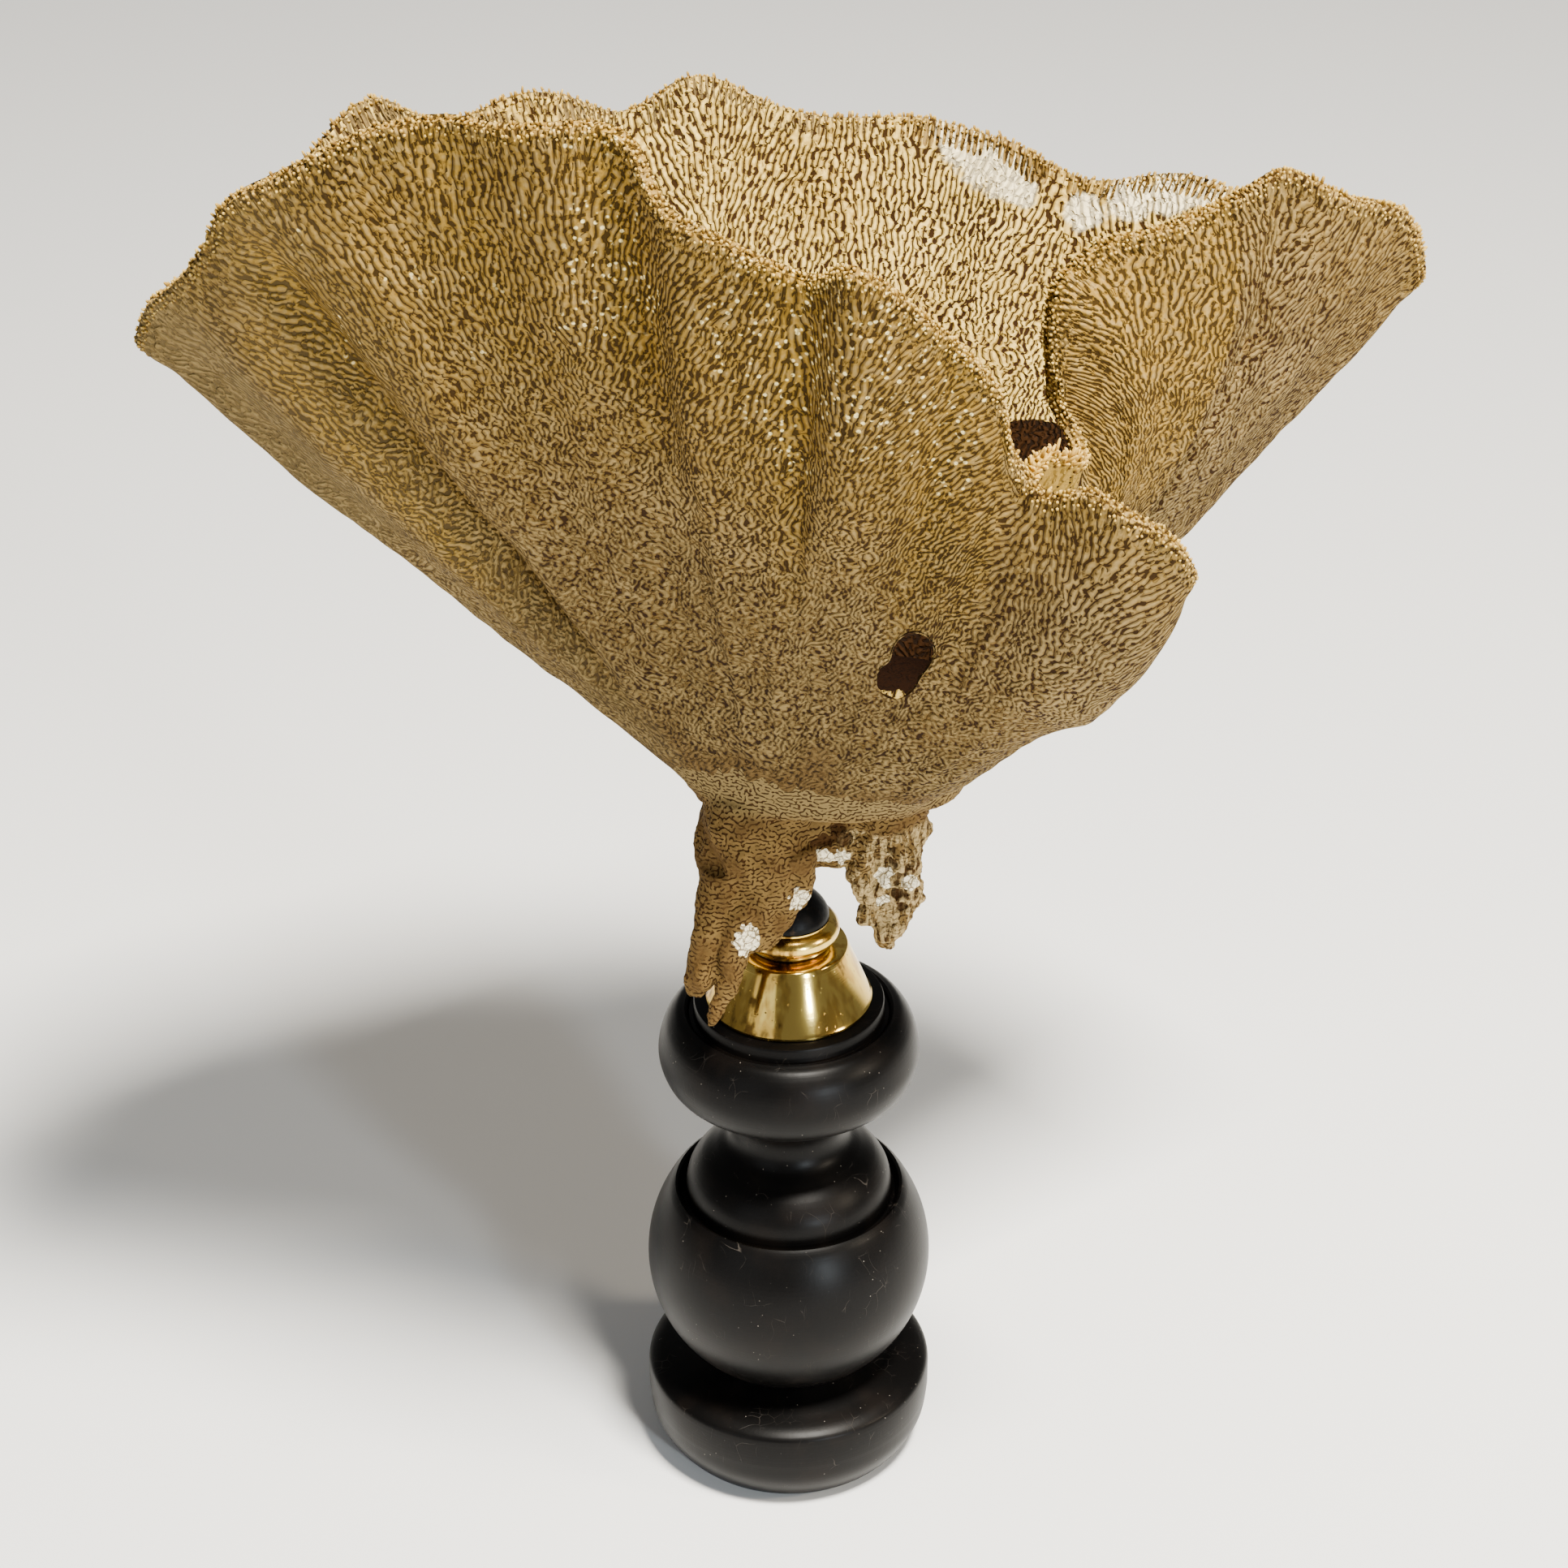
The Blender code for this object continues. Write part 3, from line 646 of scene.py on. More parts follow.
def tones(places, bearing, heights, inside):
    """Slow changes of colour over the wall: in patches, over broad areas, and how golden it is. Outside,
    painted golden shade darkens the front wall, more in its inward folds, and a painted highlight runs along
    the crease's ridge.
    """
    angle = bearing[:, None] % 360
    height = heights[None, :]
    patch = 0.5 + 0.5 * lumps(places, 11.0, 21) + 0.2 * lumps(places, 5.0, 22)
    broad = 0.5 + 0.6 * lumps(places, 42.0, 23)
    rim = ease((height - 0.72) / 0.28) * np.ones_like(angle)
    if inside:
        return np.stack([patch, broad, 0.25 * rim], axis=-1)
    # painted golden shade: the front wall is made darker and more golden, more so in its inward folds
    front = ease((angle - 186) / 10) * ease((284 - angle) / 8)
    valley_shade = np.clip(-fold_depths(bearing, heights) / 4.0, 0.0, 1.0) * front
    # painted highlight: a golden strip along the crease's ridge
    crease_highlight = np.exp(-((angle - 191.5) / 2.2) ** 2)
    crease_highlight = crease_highlight * ease((height - 0.35) / 0.2) * ease((0.97 - height) / 0.1)
    lobe = ease((angle - 334) / 4)
    gold_and_painted_light = np.maximum(0.75 * front * ease((height - 0.40) / 0.45), 0.90 * lobe * ease((height - 0.25) / 0.4))
    gold_and_painted_light = np.maximum(np.maximum(gold_and_painted_light, crease_highlight), 0.5 * rim) + 0.35 * valley_shade
    flank = ease((191 - angle) / 4) * (angle > 90) * ease((height - 0.4) / 0.2)
    # the broad tone is lowered on the left flank, and as painted shade over the front wall
    return np.stack([patch, broad - 0.5 * flank - 0.45 * front, gold_and_painted_light * (1 - 0.6 * flank)], axis=-1)


def rim_slant(around):
    """How far the ribs turn aside towards the rim, to meet it squarely, for each sample round the cup."""
    _, grid, _ = wall(around, np.array([0.9, 1.0]))
    along = unit(grid[:, 1] - grid[:, 0])
    edge = unit(np.roll(grid[:, 1], -1, axis=0) - np.roll(grid[:, 1], 1, axis=0))
    share = np.sum(edge * along, axis=1, keepdims=True)
    across = unit(edge - along * share)
    square = unit(along - edge * share)
    slant = np.arctan2(np.sum(square * across, axis=1), np.sum(square * along, axis=1))
    reach = around // 90
    padded = np.concatenate([slant[-reach:], slant, slant[:reach]])
    return np.convolve(padded, np.full(2 * reach + 1, 1 / (2 * reach + 1)), "valid")


def wall_vectors(places, bearing, heights, inside):
    """Vectors for the wall's finish: how each place lies on the wall, and its zones and tones."""
    around = len(bearing)
    turn = np.linspace(0, math.tau, around, endpoint=False)
    slant = rim_slant(around)[:, None] * ease((heights - 0.40) / 0.55)[None, :]
    turns = np.stack([np.broadcast_to(np.cos(turn)[:, None], slant.shape),
                      np.broadcast_to(np.sin(turn)[:, None], slant.shape), slant], axis=-1)
    steps = np.linalg.norm(np.diff(places, axis=1), axis=-1)
    start = np.linalg.norm(places[:, 0] - places[:, 0].mean(axis=0), axis=-1)[:, None]
    run = np.concatenate([start, start + np.cumsum(steps, axis=1)], axis=1)
    girth = np.linalg.norm(np.roll(places, -1, axis=0) - np.roll(places, 1, axis=0), axis=-1) * around / 2
    wide_ribs = 1.0 - 0.28 * ease((heights[None, :] - 0.62) / 0.38)
    level = np.log(girth * wide_ribs / LEAST_GIRTH) / math.log(WIDENING)
    jag = 0.9 * lumps(places, 9.0, 24) + level
    straight = 1.0 - 0.75 * ease((heights[None, :] - 0.55) / 0.3)
    sway = straight * (2.2 * lumps(places, 9.0, 25) + 0.9 * lumps(places, 4.5, 26))
    height = np.broadcast_to(heights[None, :], run.shape)
    areas = inner_zones(places) if inside else outer_zones(bearing, heights)
    return {"lie": np.stack([run, jag, height], axis=-1), "turn": turns,
            "zones": areas, "tones": tones(places, bearing, heights, inside),
            "drift": np.stack([sway, np.zeros_like(sway), np.zeros_like(sway)], axis=-1)}


def hole_frame():
    """The hole's middle, its axis pointing out, and the two directions across it."""
    tilt = Matrix.Rotation(math.radians(HOLE_TILT), 3, "X")
    return np.array(HOLE_CENTRE), np.array(tilt)


def hole_edge(angle):
    """The hole's radius in a direction across it, as a kidney with one hollow side."""
    lean = math.radians(HOLE_LEAN)
    dent = 0.9 * np.exp(-((angle - lean - 1.75) / 0.5) ** 2)
    return HOLE_RADIUS + HOLE_STRETCH * np.cos(2 * (angle - lean)) - dent


def open_hole(places, faces):
    """Leaves the faces inside the hole out, and moves the places at its border onto its outline."""
    centre, turn = hole_frame()
    local = (places - centre) @ turn
    angle = np.arctan2(local[:, 1], local[:, 0])
    reach = np.hypot(local[:, 0], local[:, 1])
    edge = hole_edge(angle)
    inside = (reach < edge) & (np.abs(local[:, 2]) < HOLE_REACH)
    kept = faces[~inside[faces].all(axis=1)]
    grow = np.where(inside, edge / np.maximum(reach, 1e-6), 1.0)
    local[:, :2] *= grow[:, None]
    return local @ turn.T + centre, kept


def wall_side(name, side, settings, finish):
    """One side of the wall as a fine sheet with the hole in it."""
    around = settings.samples_around
    heights = np.linspace(0.0, 1.0, WALL_ROWS)
    bearing, grid, normals = wall(around, heights)
    places = grid + normals * (side * half_thickness(heights) - SHEET_INSET)[None, :, None]
    places = places + normals * ripple(places, bearing, heights)[:, :, None]
    vectors = wall_vectors(places, bearing, heights, side < 0)
    faces = grid_faces(around, len(heights))
    if side < 0:
        faces = faces[:, ::-1]
    flat, kept = open_hole(places.reshape(-1, 3), faces)
    piece = mesh_object(name, flat, kept.tolist(), finish, vectors)
    belongs(piece, "sponge")
    return piece


def fringe(settings, finish):
    """The rim's edge as a band over both sides of the wall, with ribs that end in teeth."""
    heights = np.array([FRINGE_START, 0.958, 0.970, 0.981, 0.991, 1.0])
    bearing, grid, normals = wall(RIM_SAMPLES, heights)
    middle = grid + normals * ripple(grid, bearing, heights)[:, :, None]
    rim = middle[:, -1]
    lengths = np.linalg.norm(np.roll(rim, -1, axis=0) - rim, axis=1)
    travel = np.concatenate([[0.0], np.cumsum(lengths)[:-1]])
    teeth = round(float(lengths.sum()) * MM / settings.tooth_pitch)
    phase = travel / lengths.sum() * teeth
    number = np.floor(phase).astype(int)
    rib = np.sin(math.pi * (phase - number)) ** 0.7
    chance = np.random.default_rng(FRINGE_SEED)
    tall = chance.uniform(0.1, 1.3, teeth + 1)[number] * (0.6 + 0.4 * lumps(rim, 9.0, 9))
    lean = chance.normal(0.0, 0.45, teeth + 1)[number]
    angle = bearing % 360
    tuft = between(angle, *TUFT_BEARINGS, 4)
    up = unit(middle[:, -1] - middle[:, -2])
    height = 0.5 * settings.tooth_height / MM * tall * (1 + tuft)
    half = half_thickness(heights)
    rise = 0.55 * ease((heights - FRINGE_START) / 0.03)
    sheet = normals * (half[None, :] - 0.3 + rise[None, :] * rib[:, None])[:, :, None]
    strip = list(np.moveaxis(middle + sheet, 1, 0))
    top_rows = [(0.72, 0.75), (0.35, 1.0), (-0.35, 1.0), (-0.72, 0.75)]
    for out, share in top_rows:
        sway = normals[:, -1] * (out * half[-1] + lean * rib * share)[:, None]
        strip.append(rim + sway + up * (height * share * rib - 0.5)[:, None])
    strip += list(np.moveaxis(middle - sheet, 1, 0))[::-1]
    places = np.stack(strip, axis=1)
    rows = places.shape[1]
    spread = np.concatenate([heights, np.ones(len(top_rows)), heights[::-1]])
    vectors = wall_vectors(places, bearing, spread, False)
    faces = grid_faces(RIM_SAMPLES, rows).tolist()
    piece = mesh_object("rim_fringe", places.reshape(-1, 3), faces, finish, vectors)
    belongs(piece, "sponge")
    return piece


def hole_lining(sheets, finish):
    """The wall of the kidney-shaped hole, from the outer side to the inner one."""
    centre, turn = hole_frame()
    sides = 96
    angle = np.linspace(-math.pi, math.pi, sides, endpoint=False)
    edge = hole_edge(angle) + 0.15
    axis = Vector(turn[:, 2])
    rings = []
    trees = [BVHTree.FromObject(sheet, bpy.context.evaluated_depsgraph_get()) for sheet in sheets]
    ends = []
    for index in range(sides):
        reach = edge[index] + 0.5
        local = np.array([math.cos(angle[index]) * reach, math.sin(angle[index]) * reach, 0.0])
        start = Vector((centre + turn @ local) * MM)
        found = []
        for tree, way in zip(trees, (1, -1)):
            hit = tree.ray_cast(start + axis * way * 0.03, -axis * way, 0.06)
            if hit[0] is None:
                raise RuntimeError("the hole's lining finds no wall")
            found.append((hit[0] - start).dot(axis) / MM)
        ends.append(found)
    ends = np.array(ends)
    rows = 9
    for row in range(rows):
        part = row / (rows - 1)
        pinch = 0.7 * math.sin(math.pi * part)
        depth = ends[:, 0] + 0.1 + (ends[:, 1] - ends[:, 0] - 0.2) * part
        radius = edge - pinch * (1 + 0.5 * np.sin(9 * angle + 1.0)) + 0.25
        local = np.stack([np.cos(angle) * radius, np.sin(angle) * radius, depth], axis=1)
        rings.append(local @ turn.T + centre)
    places = np.stack(rings, axis=1)
    piece = mesh_object("hole_lining", places.reshape(-1, 3), grid_faces(sides, rows).tolist(), finish)
    belongs(piece, "sponge")
    return piece


def papillae(settings, finish):
    """The rim's little fingers, in staggered rows over its edge and a little way down both sides."""
    heights = np.array([0.97, 1.0])
    bearing, grid, normals = wall(RIM_SAMPLES, heights)
    middle = grid + normals * ripple(grid, bearing, heights)[:, :, None]
    rim = middle[:, 1]
    up = unit(middle[:, 1] - middle[:, 0])
    out = normals[:, 1]
    steps = np.linalg.norm(np.roll(rim, -1, axis=0) - rim, axis=1)
    travel = np.concatenate([[0.0], np.cumsum(steps)])
    pitch = settings.tooth_pitch / MM
    half = float(half_thickness(1.0))
    chance = np.random.default_rng(FINGER_SEED)
    # how far outwards each row stands, in half walls, how far down in millimetres, and its fingers' length
    rows = [(-1.05, 1.6, 0.55), (-0.7, 0.4, 0.85), (0.0, 0.1, 1.0), (0.7, 0.4, 0.9), (1.0, 1.4, 0.75),
            (1.05, 3.2, 0.5)]
    feet, ways, sizes, marks = [], [], [], []
    for number, (aside, down, long) in enumerate(rows):
        count = int(travel[-1] / pitch)
        where = np.arange(count) + 0.5 * (number % 2) + chance.uniform(-0.3, 0.3, count)
        where = where * travel[-1] / count
        index = np.searchsorted(travel, where % travel[-1], side="right") - 1
        foot = rim[index] + out[index] * aside * half
        foot = foot - up[index] * (down + chance.uniform(-0.6, 0.6, count))[:, None]
        edge = np.cross(up[index], out[index])
        way = up[index] * (1.0 if down < 1 else 0.7) + out[index] * aside * (0.35 if down < 1 else 0.75)
        way = way + edge * chance.normal(0, 0.28, count)[:, None]
        way = unit(way + out[index] * chance.normal(0, 0.2, count)[:, None])
        angle = bearing[index] % 360
        tuft = between(angle, TUFT_BEARINGS[0] + 1, TUFT_BEARINGS[1] - 1, 3)
        size = settings.tooth_height / MM * long * chance.uniform(0.45, 1.25, count)
        size = size * (0.75 + 0.35 * lumps(foot, 14.0, 12))
        feet.append(foot)
        ways.append(way)
        sizes.append(size * (1 + 1.5 * tuft))
        marks.append(np.stack([chance.uniform(0, 1, count) ** 2 * 0.8, tuft], axis=1))
    feet, ways, sizes, marks = (np.concatenate(part) for part in (feet, ways, sizes, marks))
    side = unit(np.cross(ways, np.array([0.31, 0.87, 0.38])))
    other = np.cross(ways, side)
    profile = [(-0.45, 0.62, 0.0), (0.35, 0.62, 0.3), (0.85, 0.46, 0.8)]
    sides = 5
    width = 0.62 + 0.3 * chance.uniform(0, 1, len(feet))
    places, finger = [], []
    for along, thick, tip in profile:
        for step in range(sides):
            angle = math.tau * step / sides
            swing = side * math.cos(angle) + other * math.sin(angle)
            places.append(feet + ways * (sizes * along)[:, None] + swing * (width * thick)[:, None])
            finger.append(np.column_stack([np.full(len(feet), tip), marks]))
    places.append(feet + ways * sizes[:, None])
    finger.append(np.column_stack([np.ones(len(feet)), marks]))
    places = np.stack(places, axis=1)
    each = places.shape[1]
    faces = []
    for low in range(len(profile) - 1):
        for step in range(sides):
            after = (step + 1) % sides
            under, over = low * sides, (low + 1) * sides
            faces.append((under + step, under + after, over + after, over + step))
    caps = [((len(profile) - 1) * sides + step, (len(profile) - 1) * sides + (step + 1) % sides, each - 1)
            for step in range(sides)]
    starts = np.arange(len(feet))[:, None, None] * each
    quads = (starts + np.array(faces)[None]).reshape(-1, 4).tolist()
    tips = (starts + np.array(caps)[None]).reshape(-1, 3).tolist()
    piece = mesh_object("rim_papillae", places.reshape(-1, 3), quads + tips, finish,
                        {"finger": np.stack(finger, axis=1)})
    belongs(piece, "sponge")
    return piece


def tube_into(shape, rings):
    """Closed skin through rings of vertices in a bmesh, with a lid at each end."""
    for low, high in zip(rings, rings[1:]):
        for index in range(len(low)):
            after = (index + 1) % len(low)
            shape.faces.new((low[index], low[after], high[after], high[index]))
    shape.faces.new(rings[0])
    shape.faces.new(rings[-1])


def limb_into(shape, sections):
    """Adds a rounded limb through its sections to a bmesh."""
    rings = []
    for x, y, z, half_x, half_y in sections:
        ring = []
        for side in range(LIMB_SIDES):
            angle = math.tau * side / LIMB_SIDES
            uneven = 1.0 + 0.07 * math.sin(3 * angle + 0.19 * z) + 0.05 * math.sin(5 * angle - 0.31 * z)
            place = Vector((x + half_x * uneven * math.cos(angle), y + half_y * uneven * math.sin(angle), z))
            ring.append(shape.verts.new(place * MM))
        rings.append(ring)
    tube_into(shape, rings)


def neck_into(shape):
    """Adds the lowest part of the cup's wall as a closed plug, so that the holdfast flows out of it."""
    heights = np.linspace(0.0, NECK_TOP, 9)
    _, grid, normals = wall(NECK_AROUND, heights)
    out = half_thickness(heights) + np.linspace(0.9, -1.8, len(heights))
    places = (grid + normals * out[None, :, None]) * MM
    tube_into(shape, [[shape.verts.new(place) for place in places[:, row]] for row in range(len(heights))])


def holdfast(finish):
    """The root of the cup with its torn prongs, melted together and made knobbly."""
    shape = bmesh.new()
    for sections in LIMBS.values():
        limb_into(shape, sections)
    neck_into(shape)
    bmesh.ops.recalc_face_normals(shape, faces=shape.faces)
    mesh_data = bpy.data.meshes.new("holdfast")
    shape.to_mesh(mesh_data)
    shape.free()
    piece = new_object("holdfast", mesh_data, None)
    melt = piece.modifiers.new("melt", "REMESH")
    melt.mode = "VOXEL"
    melt.voxel_size = MELT_VOXEL * MM
    even = piece.modifiers.new("even", "SMOOTH")
    even.factor = 0.5
    even.iterations = 9
    made = bpy.data.meshes.new_from_object(piece.evaluated_get(bpy.context.evaluated_depsgraph_get()))
    piece.modifiers.clear()
    piece.data = made
    roughen_holdfast(made)
    made.materials.clear()
    made.materials.append(finish)
    made.shade_smooth()
    belongs(piece, "sponge")
    return piece


def roughen_holdfast(mesh_data):
    """Moves the holdfast's places for knobs and torn layers, and stores where it is chalky (or, below 0, a
    crevice that gets painted shade), torn and low (or -1 on the plug's top inside the cup, which gets painted
    shade)."""
    count = len(mesh_data.vertices)
    places = np.zeros(count * 3, np.float32)
    normals = np.zeros(count * 3, np.float32)
    mesh_data.vertices.foreach_get("co", places)
    mesh_data.vertices.foreach_get("normal", normals)
    places = places.reshape(-1, 3).astype(float) / MM
    normals = normals.reshape(-1, 3)
    chalk, crevice = np.zeros(count), np.zeros(count)
    uneven = 1.0 + 0.35 * lumps(places, 2.6, 31) + 0.25 * lumps(places, 1.3, 32)
    for table, share in ((CHALK, chalk), (CREVICES, crevice)):
        for x, y, z, radius in table:
            reach = np.linalg.norm(places - np.array([x, y, z]), axis=-1) / radius * uneven
            np.maximum(share, ease((1.35 - reach) / 0.5), out=share)
    torn = ease((228 - places[:, 2]) / 14)
    torn = np.where(places[:, 0] > 14, ease((238 - places[:, 2]) / 8), torn * 0.35)
    knobs = 0.8 * lumps(places, 7.0, 5) + 0.35 * lumps(places, 3.0, 6) + 0.45 * np.abs(lumps(places, 1.7, 7))
    slanted = places @ np.array([[0.9, 0.0, 0.35], [0.0, 1.0, 0.0], [-0.5, 0.0, 0.5]])
    layers = 3.2 * np.abs(lumps(slanted, 5.0, 8)) ** 0.7 - 1.8
    layers = layers + 1.3 * np.abs(lumps(slanted, 2.2, 9)) + 0.5 * lumps(places, 1.4, 10)
    low = ease((252 - places[:, 2]) / 16)
    # the plug's top inside the cup is marked -1, for painted shade that makes it near black
    low = np.where((places[:, 2] > 254) & (normals[:, 2] > 0.4), -1.0, low)
    push = np.maximum(low, 0.0) * (knobs * (1 - 0.4 * torn) + torn * layers) - 1.6 * crevice
    push = push + 0.5 * chalk * lumps(places, 1.3, 33)
    clear = np.hypot(places[:, 0], places[:, 1]) - TIP_RADIUS - SPIKE_CLEARANCE
    held = np.where((clear < 1.5) & (places[:, 2] < 208), 0.2, 1.0)
    places = places + normals * (push * held)[:, None]
    mesh_data.vertices.foreach_set("co", (places * MM).astype(np.float32).ravel())
    stored = mesh_data.attributes.new("patches", "FLOAT_VECTOR", "POINT")
    values = np.stack([chalk - crevice, torn, low], axis=1)
    stored.data.foreach_set("vector", values.astype(np.float32).ravel())
    mesh_data.update()


def smooth_run(points, steps=6):
    """More points along the smooth open curve through the given ones."""
    points = [np.array(point, float) for point in points]
    padded = [2 * points[0] - points[1], *points, 2 * points[-1] - points[-2]]
    run = []
    for a, b, c, d in zip(padded, padded[1:], padded[2:], padded[3:]):
        for step in range(steps):
            u = step / steps
            run.append(tuple(0.5 * (2 * b + (c - a) * u + (2 * a - 5 * b + 4 * c - d) * u ** 2
                                    + (3 * b - a - 3 * c + d) * u ** 3)))
    return run + [tuple(points[-1])]


def arc(centre_r, centre_z, radius_r, radius_z, start, end, steps):
    """Points of an elliptical arc in a turned profile, between two angles in degrees from straight out."""
    angles = np.radians(np.linspace(start, end, steps + 1))
    radii = centre_r + radius_r * np.cos(angles)
    levels = centre_z + radius_z * np.sin(angles)
    return list(zip(radii.tolist(), levels.tolist()))


def turned(name, profile, finish, node, sharp=35.0):
    """A piece turned round the Z axis from a profile of (radius, height), bottom to top."""
    points = [(0.001, profile[0][1]), *profile, (0.001, profile[-1][1])]
    turn = np.linspace(0, math.tau, TURNED_SIDES, endpoint=False)
    rings = [np.stack([radius * np.cos(turn), radius * np.sin(turn), np.full(TURNED_SIDES, height)], axis=1)
             for radius, height in points]
    places = np.stack(rings, axis=1)
    piece = mesh_object(name, places.reshape(-1, 3), grid_faces(TURNED_SIDES, len(points)).tolist(), finish)
    piece.data.set_sharp_from_angle(angle=math.radians(sharp))
    belongs(piece, node)
    return piece


def pedestal_profile():
    """The wooden baluster's outline."""
    ball_low = math.degrees(math.asin((BASE_TOP - BALL_CENTRE) / BALL_RADIUS))
    ball_high = math.degrees(math.acos(SHOULDER_RADIUS / BALL_RADIUS))
    shoulder = BALL_CENTRE + BALL_RADIUS * math.sin(math.radians(ball_high))
    return [
        *smooth_run([(FOOT_RADIUS, 0.0), (FOOT_RADIUS + 3.0, 1.0), (41.2, 5.5), (44.0, 11.5),
                     (BASE_RADIUS, 19.0)]),
        *smooth_run([(BASE_RADIUS, 27.0), (44.6, 28.6), (43.4, 29.8), (41.0, 31.0), (36.5, 32.2),
                     (32.0, 33.6)]),
        *arc(0.0, BALL_CENTRE, BALL_RADIUS, BALL_RADIUS, ball_low, ball_high - 1.5, 40),
        (SHOULDER_RADIUS - 0.5, shoulder + 0.1), (SHOULDER_RADIUS - 1.4, shoulder - 0.3),
        (SHOULDER_RADIUS - 2.4, shoulder - 2.4), (SHOULDER_RADIUS - 2.8, shoulder - 3.0),
        (DOME_RADIUS + 0.3, shoulder - 2.6),
        *smooth_run([(DOME_RADIUS, shoulder - 2.0), (DOME_RADIUS - 0.4, 99.5), (30.4, 103.6), (27.2, 107.8),
                     (22.6, 111.4), (18.8, 114.6), (NECK_RADIUS, 119.0), (18.2, 124.5), (22.6, 129.5),
                     (28.5, 133.2), (34.0, 137.0), (37.9, 141.0), (BULB_RADIUS, BULB_CENTRE), (39.4, 152.2),
                     (37.6, 157.6), (34.6, 161.4), (31.8, 162.8)]),
        (30.9, 162.3), (30.4, 161.5), (STEP_RADIUS + 0.2, 161.6), (STEP_RADIUS, 162.0),
        (STEP_RADIUS, PEDESTAL_TOP - 0.9), (STEP_RADIUS - 0.3, PEDESTAL_TOP - 0.25),
        (STEP_RADIUS - 0.9, PEDESTAL_TOP),
    ]


def cone_profile():
    """The brass cone's outline."""
    foot = PEDESTAL_TOP + GAP
    top = foot + CONE_HEIGHT
    return [
        (CONE_FOOT_RADIUS - 0.3, foot), (CONE_FOOT_RADIUS, foot + 0.3), (CONE_FOOT_RADIUS, foot + 1.0),
        (CONE_FOOT_RADIUS - 0.6, foot + 1.8), (CONE_TOP_RADIUS + 0.2, top - 1.8),
        *smooth_run([(CONE_TOP_RADIUS, top - 1.2), (CONE_TOP_RADIUS - 0.5, top - 0.3),
                     (CONE_TOP_RADIUS - 1.5, top)]),
        (CONE_RECESS_RADIUS, top - 0.2), (CONE_RECESS_RADIUS - 0.6, top),
    ]


def bead_profile():
    """The brass bead's outline."""
    foot = PEDESTAL_TOP + CONE_HEIGHT + 2 * GAP
    middle = foot + 0.55 * BEAD_HEIGHT
    inside = BEAD_NECK_RADIUS - 1.0
    return [
        (BEAD_NECK_RADIUS - 0.2, foot), (BEAD_NECK_RADIUS + 0.6, foot + 0.8),
        *arc(inside, middle, BEAD_RADIUS - inside, BEAD_BULGE, -75, 75, 24),
        (BEAD_NECK_RADIUS, foot + BEAD_HEIGHT),
    ]


def tip_profile():
    """The black tip and its pin."""
    foot = PEDESTAL_TOP + CONE_HEIGHT + BEAD_HEIGHT + 3 * GAP
    top = foot + TIP_HEIGHT
    return [
        *smooth_run([(TIP_RADIUS, foot), (TIP_RADIUS - 0.2, foot + 1.6), (TIP_RADIUS - 1.6, foot + 4.2),
                     (TIP_RADIUS - 4.4, foot + 7.2), (TIP_RADIUS - 7.6, foot + 9.6),
                     (PIN_RADIUS + 0.8, top)]),
        (PIN_RADIUS, top + 1.5), (PIN_RADIUS, PIN_TOP - 1.0), (PIN_RADIUS - 0.7, PIN_TOP),
    ]


def maze(paint, place, pitch, order_low, order_high):
    """Ridges that run from root to rim, from 0 in a groove to a half on a ridge. They keep their width by
    starting anew, along a ragged line, where the wall has widened, and run straighter the nearer their order
    is to 1."""
    run, level, height = paint.parts(paint.attribute("lie"))
    x, y, slant = paint.parts(paint.attribute("turn"))
    sway = paint.parts(paint.attribute("drift"))[0]
    ragged = level + paint.noise(place, 2.6, 0.0) * 0.9
    band = paint.reckon("FLOOR", ragged)
    radius = (WIDENING ** band) * (LEAST_GIRTH / math.tau)
    angle = paint.reckon("ARCTAN2", y, x)
    order = order_low + paint.step(height, 0.50, 0.92) * (order_high - order_low)
    spot = paint.vector(angle * radius + sway, run + band * BAND_SHIFT, 0.0)
    return paint.ridges("2D", spot, pitch, Anisotropy=order, Orientation=slant * -1.0), height


def darker(colour, *factors):
    """A colour with each of its parts made smaller or larger by a factor."""
    factors = factors * 3 if len(factors) == 1 else factors
    return tuple(min(1.0, part * factor) for part, factor in zip(colour, factors))


